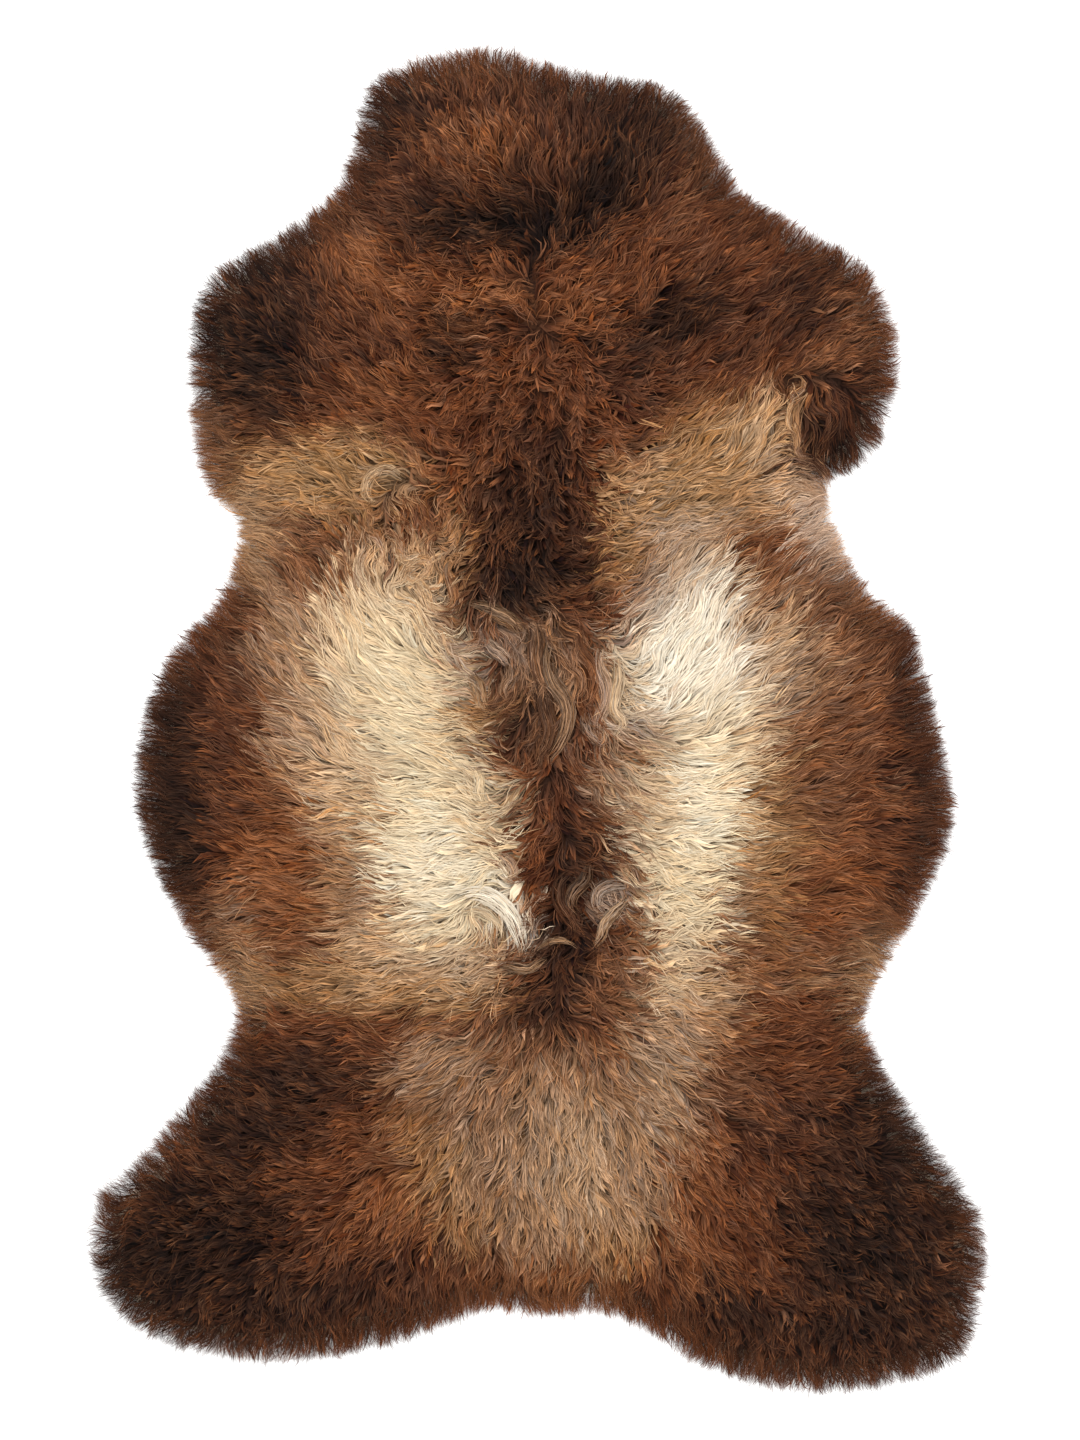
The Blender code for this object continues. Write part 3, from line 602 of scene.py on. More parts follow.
# The way the wool is combed: places in centimetres and headings in degrees from +X towards +Y.
COMB = {
    "neck": [
        (-13, 48, 152), (-9, 50, 115), (-4, 51, 95), (2, 49, 80), (8, 48, 65), (12, 46, 42), (14, 42, 40),
        (-12, 44, 155), (-6, 46, 112), (0, 46, 92), (5, 45, 75), (10, 43, 55), (-14, 40, 150),
        (-9, 41, 150), (-4, 42, 120), (2, 41, 80), (6, 41, 60),
    ],
    "behind the neck": [
        (-9, 38, 165), (-5, 38, 175), (-1, 39, 150), (3, 38, 60), (-9, 35, 160), (-4, 35, 180), (1, 35, 30),
        (6, 36, 45),
    ],
    "left shoulder": [
        (-18, 37, 118), (-22, 36, 132), (-16, 34, 118), (-13, 32, 122), (-20, 32, 138), (-25, 33, 150),
        (-26, 28, 172), (-22, 28, 152), (-18, 27, 140), (-14, 27, 145), (-24, 24, 172), (-19, 23, 165),
        (-25, 20, 188), (-20, 19, 178), (-15, 20, 168),
    ],
    "chest": [
        (-8, 32, 165), (-3, 32, 185), (2, 32, 20), (7, 32, 40), (-8, 28, 172), (-3, 28, 205), (3, 28, -30),
        (8, 28, 25), (-6, 24, 200), (0, 24, -95), (5, 24, -30), (-9, 20, 120), (-4, 20, -110), (2, 20, -80),
    ],
    "right shoulder": [
        (14, 38, 40), (18, 37, 42), (22, 35, 45), (13, 33, 35), (18, 31, 38), (24, 31, 28), (26, 28, 8),
        (22, 27, 32), (12, 28, 30), (25, 24, -18), (23.5, 21, -70), (21.5, 22.5, -110), (20.8, 24.5, -120),
    ],
    "right armpit": [
        (17, 24, 72), (15, 21, 55), (18, 20, 35), (12, 22, 25), (12, 18, 18), (16, 16, 12), (20, 16, 12),
        (8, 18, 15), (7, 22, 20), (21, 13, 32), (18, 13, 35), (15, 12, 40),
    ],
    "left armpit": [
        (-22, 15, 172), (-18, 15, 165), (-22, 12, 155), (-14, 18, 160), (-14, 13, 95), (-11, 17, -70),
        (-10, 13, -60),
    ],
    "left back": [
        (-14, 10, 112), (-18, 9, 125), (-22, 8, 140), (-26, 7, 145), (-10, 8, 125), (-16, 5, 132),
        (-20, 4, 140), (-25, 3, 150), (-29, 2, 160), (-10, 4, 158), (-6, 4, 160), (-14, 0, 152),
        (-18, -1, 150), (-23, -3, 158), (-28, -4, 168), (-8, -3, 165), (-12, -5, 166), (-18, -6, 165),
        (-24, -8, 170), (-30, -8, 178), (-8, -10, 180), (-14, -12, 178), (-20, -12, 178), (-26, -13, 190),
    ],
    "left loin": [
        (-10, -17, 182), (-16, -18, 178), (-22, -19, 178), (-7, -20, 192), (-12, -24, 186), (-18, -25, 174),
        (-23, -25, 168), (-8, -25, 205),
    ],
    "right back": [
        (7, 9, 40), (11, 9, 68), (15, 10, 48), (20, 9, 40), (25, 7, 38), (28, 6, 35), (8, 4, 60),
        (12, 3, 55), (16, 3, 38), (20, 3, 25), (25, 2, 22), (29, 1, 20), (10, -1, 15), (14, -2, 15),
        (18, -3, 12), (23, -4, 12), (28, -5, 8), (8, -7, -5), (12, -8, 0), (17, -9, 5), (22, -10, 4),
        (28, -12, -20), (30, -8, 0),
    ],
    "right loin": [
        (8, -14, -10), (12, -15, 0), (17, -15, 0), (21, -16, 0), (25, -17, -15), (8, -20, -8), (13, -21, -5),
        (19, -21, 0), (24, -22, 5), (8, -26, -32), (14, -26, -15), (20, -26, 0), (25, -26, 12),
    ],
    "withers": [
        (0, 17, -90), (-5, 15, -120), (4, 15, -20), (-5, 11, -150), (-1, 12, -90), (2, 9.5, 10), (5, 11, 40),
        (-3, 8.5, -20),
    ],
    "spine": [
        (0, 6, -80), (-2, 3, -95), (3, 4, -85), (5, 3, -85), (0.5, 0, -80), (-3, 0, 170), (1, -2.5, -95),
        (4.5, -1, -60), (-3, -3, 155), (4, -3.5, -40), (6.5, -3, -20), (1, -5.5, -60), (-3, -6, 165),
        (5, -7, -45), (-2, -9, 182), (-2, -12, 182), (0.5, -10, 185), (2.5, -8, -25), (3, -11, -10),
        (5, -10, -40), (1.5, -13.5, -80), (3.5, -15, -70), (5.5, -13.5, -20), (0, -15, -140),
        (-2.5, -15, -55), (0, -18.5, 190), (4, -18, -20), (-2, -20.5, 200), (3, -20.5, -8), (6, -19, -15),
        (0, -22.5, -130), (4, -23, -40),
    ],
    "rump": [
        (-6, -26, -132), (-2, -28, -105), (3, -27, -80), (7, -29, -50), (-8, -31, -140), (-4, -34, -102),
        (0, -34, -90), (4, -34, -84), (8, -33, -65), (-4, -40, -96), (1, -41, -90), (6, -40, -76),
        (-4, -44, -92), (2, -45, -90), (7, -45, -85),
    ],
    "left hind leg": [
        (-12, -32, -162), (-16, -30, 178), (-20, -30, 165), (-24, -29, 152), (-28, -31, 140), (-11, -37, -125),
        (-16, -36, -165), (-20, -35, 176), (-25, -34, 165), (-29, -34, 150), (-31, -37, 168),
        (-33.5, -39, 178), (-33, -43, -160), (-28, -40, -174), (-22, -40, -168), (-16, -41, -132),
        (-30, -46, -130), (-24, -47, -110), (-18, -47, -97), (-10, -45, -95), (-26, -44, -140),
    ],
    "right hind leg": [
        (12, -32, -45), (16, -30, -25), (20, -31, -20), (24, -29, 0), (27, -30, 15), (12, -38, -55),
        (16, -35, -40), (12, -44, -62), (14, -48, -95), (18, -42, -45), (18, -49, -85), (23, -36, -35),
        (24, -43, -42), (24, -49, -75), (28, -34, -15), (30, -40, -32), (30, -46, -45), (33.5, -40, -8),
        (33, -46, -25), (29, -50, -68),
    ],
}
COMB_REACH = 3.0  # centimetres over which one place's comb gives way to the next

# How the wool grows: where, over how far (centimetres), the length of what shows (millimetres),
# how far ripples turn it, how far it curls and how far it strays (degrees).
GROWTH = [
    # place                  x      y   reach length ripple curl stray
    ("whole skin",           0,     0,  400,   30,   15,   20,   9),
    ("neck",                 0,    48,   10,   22,   12,   25,  12),
    ("behind the neck",     -3,    38,    6,   22,   24,   50,  22),
    ("chest front",         -1,    32,    6,   20,   30,   50,  28),
    ("chest",               -1,    25,    7,   14,   30,   55,  32),
    ("withers",             -1,    14,    6,   15,   22,   50,  28),
    ("whorl",              -13,    15,    3,   18,   26,   60,  25),
    ("left back",          -11,     0,    9,   34,   14,   20,   7),
    ("right back",          13,     0,    9,   34,   13,   20,   7),
    ("spine",                1,     3,    5,   24,   30,   70,  26),
    ("spine",                2,    -7,    5,   22,   20,   40,  18),
    ("loin",                 3,   -16,    5,   22,   32,   80,  32),
    ("rump",                 1,   -34,    8,   24,   20,   30,  14),
    ("left shoulder",      -22,    30,    7,   20,   12,   25,  12),
    ("right shoulder",      22,    30,    7,   22,   12,   22,  11),
    ("left haunch",        -20,   -32,    8,   19,   14,   30,  14),
    ("left hind leg",      -25,   -42,    9,   14,   18,   40,  22),
    ("right haunch",        18,   -34,    6,   18,   14,   30,  14),
    ("right hind leg",      25,   -42,   10,   14,   18,   40,  22),
]


def growth_at(x, y):
    """Length, ripple, curl and stray of the wool at these places."""
    total, weight = np.zeros((len(x), 4)), np.zeros(len(x))
    for _, centre_x, centre_y, reach, length, *turns in GROWTH:
        away = np.hypot(x - TABLE_MIDDLE[0] - centre_x * CM, y - TABLE_MIDDLE[1] - centre_y * CM)
        pull = np.exp(-((away / (reach * CM)) ** 2)) * (0.35 if reach > 100 else 1)
        total += pull[:, None] * np.array([length * MM, *np.radians(turns)])
        weight += pull
    return (total / weight[:, None]).T


def comb_at(x, y):
    """The way the wool lies at these places, as a direction with the ripples that run through it."""
    pull_x, pull_y, total = np.zeros_like(x), np.zeros_like(x), np.zeros_like(x)
    for places in COMB.values():
        for centre_x, centre_y, heading in places:
            away = (x - TABLE_MIDDLE[0] - centre_x * CM) ** 2 + (y - TABLE_MIDDLE[1] - centre_y * CM) ** 2
            away /= (COMB_REACH * CM) ** 2
            pull = np.exp(-away) + 1e-4 / (0.3 + away) ** 2
            pull_x += pull * math.cos(math.radians(heading))
            pull_y += pull * math.sin(math.radians(heading))
            total += pull
    heading = np.arctan2(pull_y, pull_x)
    ripple = growth_at(x, y)[1]
    for number, (pace, share) in enumerate(RIPPLES):
        heading = heading + ripple * share * waves(x, y, pace, 50 + number)
    unsure = 1 - np.hypot(pull_x, pull_y) / total
    heading = heading + unsure * RUFFLE[1] * waves(x, y, RUFFLE[0], 58)
    return np.cos(heading), np.sin(heading)


map_x, map_y = np.meshgrid(*(np.arange(n) * PITCH for n in fleece.shape), indexing="ij")
comb_x, comb_y = (
    way.reshape(fleece.shape)
    for way in comb_at(fleece.low[0] + map_x.ravel(), fleece.low[1] + map_y.ravel())
)


def combed_paths(x, y, turn, curl, length, points):
    """Points along each lock on the plan, and the headings there: it follows the comb, and curls."""
    path = np.empty((3, points, len(x)))
    step = length / (points - 1)
    for number in range(points):
        share = number / (points - 1)
        heading = np.arctan2(fleece.read(comb_y, x, y), fleece.read(comb_x, x, y)) + turn + curl * (share - 0.3)
        path[:, number] = x, y, heading
        x = x + np.cos(heading) * step
        y = y + np.sin(heading) * step
    return path[0].T, path[1].T, path[2].T


def scattered(spacing, low, chance):
    """Places at about this spacing wherever the fleece's rim is at least so far away."""
    size = np.array(fleece.shape) * PITCH
    columns, rows = int(size[0] / spacing), int(size[1] / (spacing * math.sqrt(0.75)))
    column, row = np.meshgrid(np.arange(columns), np.arange(rows), indexing="ij")
    x = (column + 0.5 * (row % 2)).ravel() * spacing + chance.uniform(-0.4, 0.4, column.size) * spacing
    y = row.ravel() * spacing * math.sqrt(0.75) + chance.uniform(-0.4, 0.4, column.size) * spacing
    x, y = x + fleece.low[0], y + fleece.low[1]
    kept = fleece.read(fleece.distance, x, y) > low
    return x[kept], y[kept]


def drawn_in(x, y, path_x, path_y, stray):
    """Shortens the locks that would reach past the edge of the wool."""
    start = fleece.read(fleece.distance, x, y)
    end = fleece.read(fleece.distance, path_x[:, -1], path_y[:, -1])
    edge = fleece.read(fleece.overhang, path_x[:, -1], path_y[:, -1]) + stray
    room = np.clip((start + edge) / np.maximum(start - end, 1e-6), 0.05, 1)
    share = np.where(end < -edge, room, 1)[:, None]
    return x[:, None] + (path_x - x[:, None]) * share, y[:, None] + (path_y - y[:, None]) * share


def strands(name, path, width, twist, colour):
    """One mesh of flat tapering strands: path is strands by points by 3, and so is colour."""
    count, points, _ = path.shape
    along = np.gradient(path, axis=1)
    along /= np.linalg.norm(along, axis=2, keepdims=True) + 1e-12
    side = np.cross(along, np.array([0.0, 0.0, 1.0]))
    side /= np.linalg.norm(side, axis=2, keepdims=True) + 1e-9
    up = np.cross(side, along)
    side = side * np.cos(twist)[..., None] + up * np.sin(twist)[..., None]
    half = side * (width / 2)[..., None]
    corners = np.empty((count, 2 * points - 1, 3))
    corners[:, 0:-1:2] = (path - half)[:, :-1]
    corners[:, 1::2] = (path + half)[:, :-1]
    corners[:, -1] = path[:, -1]
    corners[..., 2] = np.maximum(corners[..., 2], FLOOR_GAP)
    quads = np.array([[2 * i, 2 * i + 1, 2 * i + 3, 2 * i + 2] for i in range(points - 2)]).ravel()
    last = 2 * (points - 2)
    one_strand = np.concatenate([quads, [last, last + 1, last + 2]])
    loops = (one_strand[None] + (2 * points - 1) * np.arange(count)[:, None]).ravel()
    starts = np.append(np.arange(points - 2) * 4, (points - 2) * 4)
    starts = (starts[None] + len(one_strand) * np.arange(count)[:, None]).ravel()
    mesh = bpy.data.meshes.new(name)
    mesh.vertices.add(corners.size // 3)
    mesh.vertices.foreach_set("co", corners.ravel().astype(np.float32))
    mesh.loops.add(len(loops))
    mesh.loops.foreach_set("vertex_index", loops.astype(np.int32))
    mesh.polygons.add(len(starts))
    mesh.polygons.foreach_set("loop_start", starts.astype(np.int32))
    mesh.update(calc_edges=True)
    mesh.polygons.foreach_set("use_smooth", np.ones(len(starts), bool))
    paint(mesh, np.repeat(colour, 2, axis=1)[:, :-1].reshape(-1, 3))
    lay_out(mesh, path, width, loops)
    return mesh


def lay_out(mesh, path, width, loops):
    """Two maps of the strands: their fibres at real size, and a small upright strip for each."""
    count, points, _ = path.shape
    share = np.repeat(np.linspace(0, 1, points), 2)[:-1]
    across = np.tile([0.0, 1.0], points)[: 2 * points - 1]
    across[-1] = 0.5
    number, spot = loops // (2 * points - 1), loops % (2 * points - 1)
    length = np.linalg.norm(np.diff(path, axis=1), axis=2).sum(axis=1)
    widest = width.max(axis=1)
    fibres = mesh.uv_layers.new(name="fibres")
    u = number % 997 + across[spot] * widest[number] / FIBRE
    v = share[spot] * length[number] / FIBRE_RUN
    fibres.data.foreach_set("uv", np.stack([u, v], axis=1).ravel().astype(np.float32))
    columns = math.ceil(math.sqrt(count))
    strips = mesh.uv_layers.new(name="OFBake")
    u = (number % columns + 0.2 + 0.6 * across[spot]) / columns
    v = (number // columns + 0.1 + 0.8 * share[spot]) / columns
    strips.data.foreach_set("uv", np.stack([u, v], axis=1).ravel().astype(np.float32))


def lock_colours(colour, tone, warmth, glow, share):
    """Each lock's colour along it: painted shade at the root, and bleached at the tip where the wool is dark."""
    pale = np.clip(colour.mean(axis=1), 0, 1)[:, None]
    change = tone[:, None] * np.array(TONE_TINT) + (warmth[:, None] * pale) * np.array(WARMTH)
    colour = colour + variety(pale) * change
    pale = pale[:, :, None]
    # painted shade: the root is darker and lightens to the lock's own colour by 0.7 of its length
    root = np.minimum(ROOT_SHADE[0] + ROOT_SHADE[1] * pale, 1)
    shade = root + (1 - root) * smooth_step(share, 0, 0.7)[None, :, None]
    bleach = np.array(TIP_GLOW) * (1 - pale) ** 1.5 * smooth_step(share, 0.35, 1.0)[None, :, None]
    return colour[:, None] * shade + bleach * glow[:, None, None]


def coat_mesh(name, seed, spacing, locks, gap, points, width, root, tip, tone, loose):
    """One coat of the fleece: staples of a few locks side by side."""
    chance = np.random.default_rng(seed)
    x, y = scattered(spacing * MM, 0.0, chance)
    count = len(x)
    length, _, curl, stray = growth_at(x, y)
    turn = chance.normal(0, 1, count) * stray * loose
    curl = curl * chance.normal(0, 1, count)
    length = length * chance.uniform(0.8, 1.25, count)
    along, across = COLOUR_STRAY[0] * chance.normal(0, 1, count), COLOUR_STRAY[1] * chance.normal(0, 1, count)
    # painted shade: the hollows between the tufts get a darker tone
    tone = tone + chance.normal(0, STAPLE_TONE, count) + TUFTS[2] * waves(x, y, TUFTS[0], 60)
    warmth = chance.normal(0, 1, count)
    glow = 1 + 0.7 * chance.normal(0, 1, count)
    for number, (pace, strength) in enumerate(MOTTLE):
        glow = glow + strength * waves(x, y, pace, 70 + number)
    glow = np.clip(glow, 0, 3)

    staple = np.repeat(np.arange(count), locks)
    number = len(staple)
    place = np.tile(np.arange(locks) - (locks - 1) / 2, count) + chance.normal(0, 0.3, number)
    heading = np.arctan2(fleece.read(comb_y, x, y), fleece.read(comb_x, x, y))[staple]
    start = LOCK_STAGGER * chance.uniform(-0.5, 0.5, number)
    path_x, path_y, heading = combed_paths(
        x[staple] + np.cos(heading) * start,
        y[staple] + np.sin(heading) * start,
        turn[staple] + chance.normal(0, LOCK_TURN, number),
        curl[staple] + chance.normal(0, 2 * LOCK_TURN, number),
        length[staple] * chance.uniform(0.75, 1.1, number),
        points,
    )
    share = np.linspace(0, 1, points)
    firm = smooth_step(fleece.read(fleece.distance, path_x[:, -1], path_y[:, -1]), 0, RIM_ZONE)[:, None]
    apart = (place * gap * MM)[:, None] * (1 - STAPLE_GATHER * share * firm)
    path_x, path_y = path_x - np.sin(heading) * apart, path_y + np.cos(heading) * apart
    path_x, path_y = drawn_in(
        path_x[:, 0], path_y[:, 0], path_x, path_y, chance.normal(0, EDGE_STRAY, number)
    )
    middle = int(0.6 * points)
    mix_x, mix_y = COLOUR_MIX * chance.normal(0, 1, (2, number))
    way = heading[:, middle]
    colour = wool_colour(
        path_x[:, middle] + np.cos(way) * along[staple] - np.sin(way) * across[staple] + mix_x,
        path_y[:, middle] + np.sin(way) * along[staple] + np.cos(way) * across[staple] + mix_y,
    )
    inside = smooth_step(fleece.read(fleece.distance, path_x, path_y), 0, RIM_ZONE)
    top = fleece.read(fleece.height, path_x, path_y) + TUFTS[1] * waves(path_x, path_y, TUFTS[0], 60) * inside
    rise = (-root + (root + tip) * smooth_step(share, 0.0, 0.75)) * MM
    lift = chance.normal(0, 0.0007, number)[:, None] * share + chance.normal(0, 0.0008, count)[staple][:, None]
    path = np.stack([path_x, path_y, np.maximum(top + rise[None] + lift, FLOOR_GAP)], axis=2)
    fine = RIM_FINENESS + (1 - RIM_FINENESS) * firm
    width = width * MM * np.interp(share, *zip(*LOCK_TAPER)) * fine * chance.uniform(0.7, 1.3, number)[:, None]
    twist = chance.normal(0, 0.2, number)[:, None] + chance.normal(0, 0.25, number)[:, None] * share[None]
    own = tone[staple] + chance.normal(0, LOCK_TONE, number)
    return strands(name, path, width, twist, lock_colours(colour, own, warmth[staple], glow[staple], share))


def wool_piece(name, mesh):
    """A shown piece of the fleece, in place of the solid one."""
    piece = finished(name, mesh, wool)
    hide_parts("sheepskin")
    return piece


wool = wool_material("wool_fibres", "fibres", 1.0)
coats = [wool_piece(name, coat_mesh(name, *values)) for name, *values in COATS]

# The curls. Down the spine and over the loin the wool is longest, and its staples have curled
# round each other in thick locks that lie on the fleece, brushed by hand.
CURLS = [
    # colour, width and height in millimetres, and the way it lies in centimetres, root first
    ("sand",      9, 3.0, (-5.6, 9.0), (-4.4, 8.6), (-3.0, 8.0), (-1.9, 7.2), (-1.5, 6.3), (-2.0, 5.6)),
    ("brown",     9, 2.5, (-0.9, 8.0), (-0.4, 6.6), (-0.5, 5.2), (-0.3, 3.8), (0.1, 2.6), (0.2, 1.4)),
    ("taupe",     9, 3.5, (0.6, 6.0), (0.4, 4.4), (0.8, 3.0), (1.6, 1.9), (2.0, 0.7), (1.8, -0.7), (1.2, -2.0),
     (0.5, -3.1), (0.7, -3.9)),
    ("brown",     9, 3.0, (-0.2, 3.6), (0.1, 2.2), (0.3, 0.8), (0.6, -0.6), (0.3, -1.8), (-0.3, -2.8),
     (-0.6, -3.8)),
    ("brown",     9, 2.5, (1.2, 7.0), (1.4, 5.6), (1.9, 4.4), (2.9, 3.4), (2.9, 2.2), (2.0, 1.6)),
    ("rust",      8, 2.5, (2.6, 6.8), (2.9, 5.4), (3.8, 4.2), (4.1, 2.9), (3.6, 1.6), (2.6, 0.9)),
    ("peach",     8, 3.0, (4.4, 5.6), (4.3, 4.2), (4.8, 2.8), (4.9, 1.4), (4.4, 0.2), (4.3, -0.9), (5.1, -1.8)),
    ("tan",       8, 3.0, (5.8, 5.0), (5.9, 3.6), (5.7, 2.2), (5.5, 0.9), (6.2, -0.2), (5.6, -1.1),
     (5.9, -2.0)),
    ("grey",      7, 2.5, (3.2, 0.6), (3.4, -0.4), (3.9, -1.2), (4.6, -1.7), (5.4, -1.6)),
    ("taupe",     7, 2.0, (-2.6, 4.6), (-2.4, 3.4), (-2.9, 2.4), (-2.6, 1.4)),
    ("grey",      8, 2.0, (-4.6, 6.4), (-3.8, 5.6), (-2.8, 4.8), (-2.2, 3.8)),
    ("tan",       8, 2.0, (-5.6, 3.6), (-4.9, 2.6), (-4.6, 1.4), (-4.0, 0.4)),
    ("cream",     8, 2.0, (-5.6, -3.4), (-5.0, -4.4), (-4.9, -5.6), (-4.4, -6.6)),
    ("white",    10, 3.5, (-6.6, -13.6), (-5.2, -13.2), (-3.8, -13.6), (-2.7, -14.5), (-2.0, -15.7), (-1.6, -17.0),
     (-1.3, -18.2)),
    ("cream",     7, 2.5, (-6.2, -14.6), (-5.0, -14.5), (-4.0, -15.0), (-3.2, -16.0), (-3.0, -17.0)),
    ("tan",       6, 2.5, (-3.4, -18.6), (-2.2, -18.9), (-1.0, -19.0), (-0.2, -18.5), (0.6, -18.1)),
    ("sand",      4, 2.5, (-0.6, -17.7), (0.2, -17.1), (1.2, -16.8), (2.1, -17.0), (2.9, -17.5)),
    ("brown",     8, 2.5, (2.4, -11.4), (1.4, -12.4), (1.2, -13.6), (1.8, -14.8), (2.5, -15.9), (2.2, -17.0)),
    ("taupe",     8, 2.5, (3.6, -11.0), (3.3, -12.2), (2.4, -13.2), (2.2, -14.2), (3.0, -15.0)),
    ("grey",      8, 3.0, (6.6, -12.6), (5.4, -12.6), (4.4, -13.1), (4.2, -14.1), (4.9, -15.0)),
    ("tan",       7, 3.0, (6.4, -13.8), (5.6, -14.6), (4.8, -15.6), (4.5, -16.6), (3.8, -17.5)),
    ("peach",     7, 2.5, (-3.4, -10.2), (-2.6, -10.8), (-2.2, -11.8), (-2.8, -12.6)),
    ("tan",       7, 2.5, (-10.6, 18.6), (-11.8, 19.2), (-13.2, 18.6), (-13.4, 17.2), (-12.4, 16.6)),
    ("rust",      7, 2.0, (-8.4, 31.0), (-7.0, 30.4), (-5.6, 30.2), (-4.2, 30.5)),
    ("brown",     6, 2.0, (-7.6, 29.6), (-6.2, 29.2), (-5.0, 29.5), (-3.8, 29.2)),
]
CURL_STRANDS = 5.5  # to each millimetre of its width
CURL_POINTS = 12
CURL_WIDTH = 0.0006
CURL_SPREAD = 1.5  # the loose width of a curl beside its named one
CURL_OWN = 0.5  # how far its colour is its own
CURL_TAPER = [(0.0, 0.6), (0.3, 1.0), (0.75, 0.8), (1.0, 0.3)]
CURL_SHADE = 0.10  # painted shade: how much darker its sides are than its crown


def smooth_line(places, shares):
    """Points on a smooth line through the places, at these shares of its length."""
    places = np.array(places)
    knots = np.append(0, np.cumsum(np.linalg.norm(np.diff(places, axis=0), axis=1)))
    slopes = np.gradient(places, knots, axis=0)
    run = shares * knots[-1]
    before = np.clip(np.searchsorted(knots, run) - 1, 0, len(places) - 2)
    span = (knots[before + 1] - knots[before])[..., None]
    s = (run - knots[before])[..., None] / span
    return (
        (2 * s**3 - 3 * s**2 + 1) * places[before] + (s**3 - 2 * s**2 + s) * span * slopes[before]
        + (3 * s**2 - 2 * s**3) * places[before + 1] + (s**3 - s**2) * span * slopes[before + 1]
    )


def curl_mesh(name, seed):
    """All the curls: each is a bundle of fine strands round the line that it follows."""
    chance = np.random.default_rng(seed)
    paths, widths, twists, colours = [], [], [], []
    for colour, width, height, *places in CURLS:
        count = int(CURL_STRANDS * width)
        first, last = chance.uniform(0, 0.3, count)[:, None], chance.uniform(0.6, 1, count)[:, None]
        share = first + (last - first) * np.linspace(0, 1, CURL_POINTS)
        line = smooth_line(places, share) * CM + TABLE_MIDDLE
        ahead = smooth_line(places, np.minimum(share + 0.02, 1)) - smooth_line(places, np.maximum(share - 0.02, 0))
        heading = np.arctan2(ahead[..., 1], ahead[..., 0])
        spread = np.interp(share, *zip(*CURL_TAPER))
        place = chance.uniform(-1, 1, count)[:, None]
        off = place * spread * width * CURL_SPREAD * MM / 2 + 0.0004 * np.sin(share * 25 + chance.uniform(0, 6.3, count)[:, None])
        x = line[..., 0] - np.sin(heading) * off
        y = line[..., 1] + np.cos(heading) * off
        crown = np.sqrt(1 - place**2) * np.sin(np.clip(share * 1.15, 0, 1) * math.pi) ** 0.6
        top = fleece.read(fleece.height, x, y) + crown * height * MM + chance.normal(0, 0.0004, count)[:, None]
        paths.append(np.stack([x, y, top], axis=2))
        taper = np.interp(np.linspace(0, 1, CURL_POINTS), *zip(*LOCK_TAPER))
        widths.append(CURL_WIDTH * taper * chance.uniform(0.7, 1.3, count)[:, None])
        twists.append(chance.normal(0, 0.3, count)[:, None] + place * 0.8 * np.ones(CURL_POINTS))
        around = wool_colour(x.mean(axis=1), y.mean(axis=1))
        seen = around + (np.array(WOOL[colour]) / 255 - around) * CURL_OWN
        # painted shade: a curl's side strands are darker than those on its crown
        tone = chance.normal(0, 0.06, count) - CURL_SHADE * place[:, 0] ** 2 + 0.02
        warmth = chance.normal(0, 1, count)
        colours.append(lock_colours(seen, tone, warmth, 0.6 + 0 * tone, np.linspace(0, 1, CURL_POINTS)))
    return strands(name, *(np.concatenate(parts) for parts in (paths, widths, twists, colours)))


coats.append(wool_piece("curls", curl_mesh("curls", 7)))

# The wool at the rim. All round the skin the outermost wool stands out past the hide, in fine
# single hairs of uneven length that have been bleached by the light.
RIM_SPACING = 0.0020
RIM_BAND = (-0.004, 0.014)  # the strip along the rim where the single hairs grow
RIM_OUTWARD = 0.55  # how far they are turned from the comb to the rim
RIM_STRAY = 0.3
RIM_REACH = 0.0022
RIM_SHORT = 0.004
RIM_WIDTH = 0.00042
RIM_LENGTHS = (0.006, 0.036)
RIM_GLOW = (1.6, 0.9)


def outward(x, y):
    """The heading from these places straight to the rim."""
    step = 0.75 * PITCH
    slope_x = fleece.read(fleece.distance, x - step, y) - fleece.read(fleece.distance, x + step, y)
    slope_y = fleece.read(fleece.distance, x, y - step) - fleece.read(fleece.distance, x, y + step)
    return np.arctan2(slope_y, slope_x)


def turned_towards(heading, other, share):
    """How far a heading is from another, times this share."""
    return share * ((other - heading + math.pi) % (2 * math.pi) - math.pi)


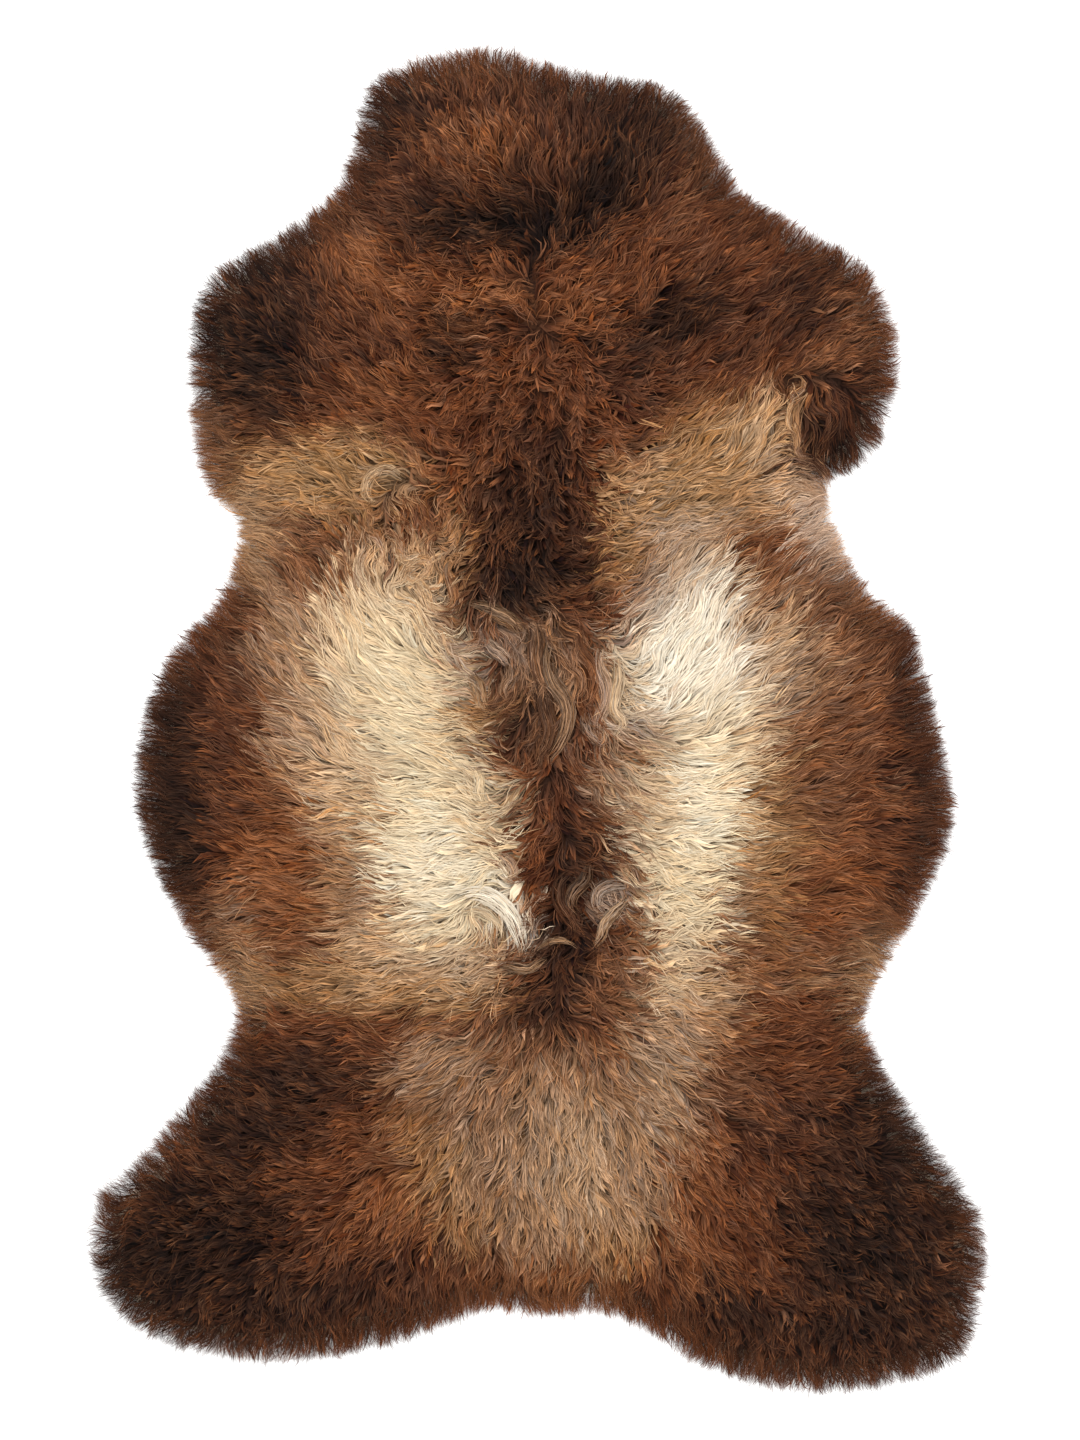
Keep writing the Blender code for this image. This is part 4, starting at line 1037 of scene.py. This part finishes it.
def rim_mesh(name, seed):
    """Fine single hairs all along the rim, some of them reaching past the rest."""
    chance = np.random.default_rng(seed)
    x, y = scattered(RIM_SPACING, RIM_BAND[0], chance)
    near = fleece.read(fleece.distance, x, y) < RIM_BAND[1]
    x, y = x[near], y[near]
    count = len(x)
    combed = np.arctan2(fleece.read(comb_y, x, y), fleece.read(comb_x, x, y))
    turn = turned_towards(combed, outward(x, y), RIM_OUTWARD)
    turn = turn + 0.2 * waves(x, y, 40, 80) + chance.normal(0, RIM_STRAY, count)
    heading = combed + turn
    stray = RIM_REACH * chance.exponential(1, count) - RIM_SHORT * chance.uniform(0, 1, count)
    distance = fleece.read(fleece.distance, x, y)
    edge = fleece.read(fleece.overhang, x + 0.008 * np.cos(heading), y + 0.008 * np.sin(heading))
    facing = np.clip(np.cos(heading - outward(x, y)), 0.55, 1)
    length = np.clip((distance + edge + stray) / facing, *RIM_LENGTHS)
    path_x, path_y, _ = combed_paths(x, y, turn, chance.normal(0, 0.45, count), length, 4)
    share = np.linspace(0, 1, 4)
    top = fleece.read(fleece.height, path_x, path_y)
    level = chance.uniform(0.15, 0.95, count)[:, None]
    path = np.stack([path_x, path_y, np.maximum(top * level, FLOOR_GAP)], axis=2)
    width = RIM_WIDTH * np.interp(share, [0, 0.5, 1], [1, 0.8, 0.3]) * chance.uniform(0.7, 1.3, count)[:, None]
    twist = chance.normal(0, 0.5, count)[:, None] + np.zeros(4)
    tone = chance.normal(0.0, LOCK_TONE, count)
    glow = np.clip(chance.normal(*RIM_GLOW, count), 0, 3)
    return strands(name, path, width, twist, lock_colours(wool_colour(x, y), tone, tone * 0, glow, share))


coats.append(wool_piece("rim_hair", rim_mesh("rim_hair", 9)))

# The floor and the light: a plain white sweep under a broad soft light from the neck's side, with
# a pale even light from all round.
FLOOR_SIZE = 14.0
FLOOR_WHITE = (0.86, 0.86, 0.86, 1)
LIGHTS = [
    # name      place               size  watts
    ("key",     (-0.7, 1.3, 2.6),   1.7,  66.0),
    ("fill",    (1.4, -0.8, 2.4),   2.0,  25.0),
]
SKY_STRENGTH = 1.25

ground = bmesh.new()
bmesh.ops.create_grid(ground, x_segments=1, y_segments=1, size=FLOOR_SIZE / 2)
floor_mesh = bpy.data.meshes.new("floor")
ground.to_mesh(floor_mesh)
ground.free()
floor_paint, _, floor_shader = principled("floor_white")
floor_shader.inputs["Base Color"].default_value = FLOOR_WHITE
floor_shader.inputs["Roughness"].default_value = 0.9
floor_mesh.materials.append(floor_paint)
floor_piece = bpy.data.objects.new("floor", floor_mesh)
bpy.context.scene.collection.objects.link(floor_piece)

for name, place, size, watts in LIGHTS:
    lamp = bpy.data.lights.new(name, "AREA")
    lamp.size = size
    lamp.energy = watts
    holder = bpy.data.objects.new(name, lamp)
    holder.location = place
    holder.rotation_euler = (-Vector(place)).to_track_quat("-Z", "Y").to_euler()
    bpy.context.scene.collection.objects.link(holder)
sky = bpy.data.worlds.new("sky")
sky.use_nodes = True
sky.node_tree.nodes["Background"].inputs["Color"].default_value = (1, 1, 1, 1)
sky.node_tree.nodes["Background"].inputs["Strength"].default_value = SKY_STRENGTH
bpy.context.scene.world = sky
bpy.context.scene.view_settings.view_transform = "Standard"
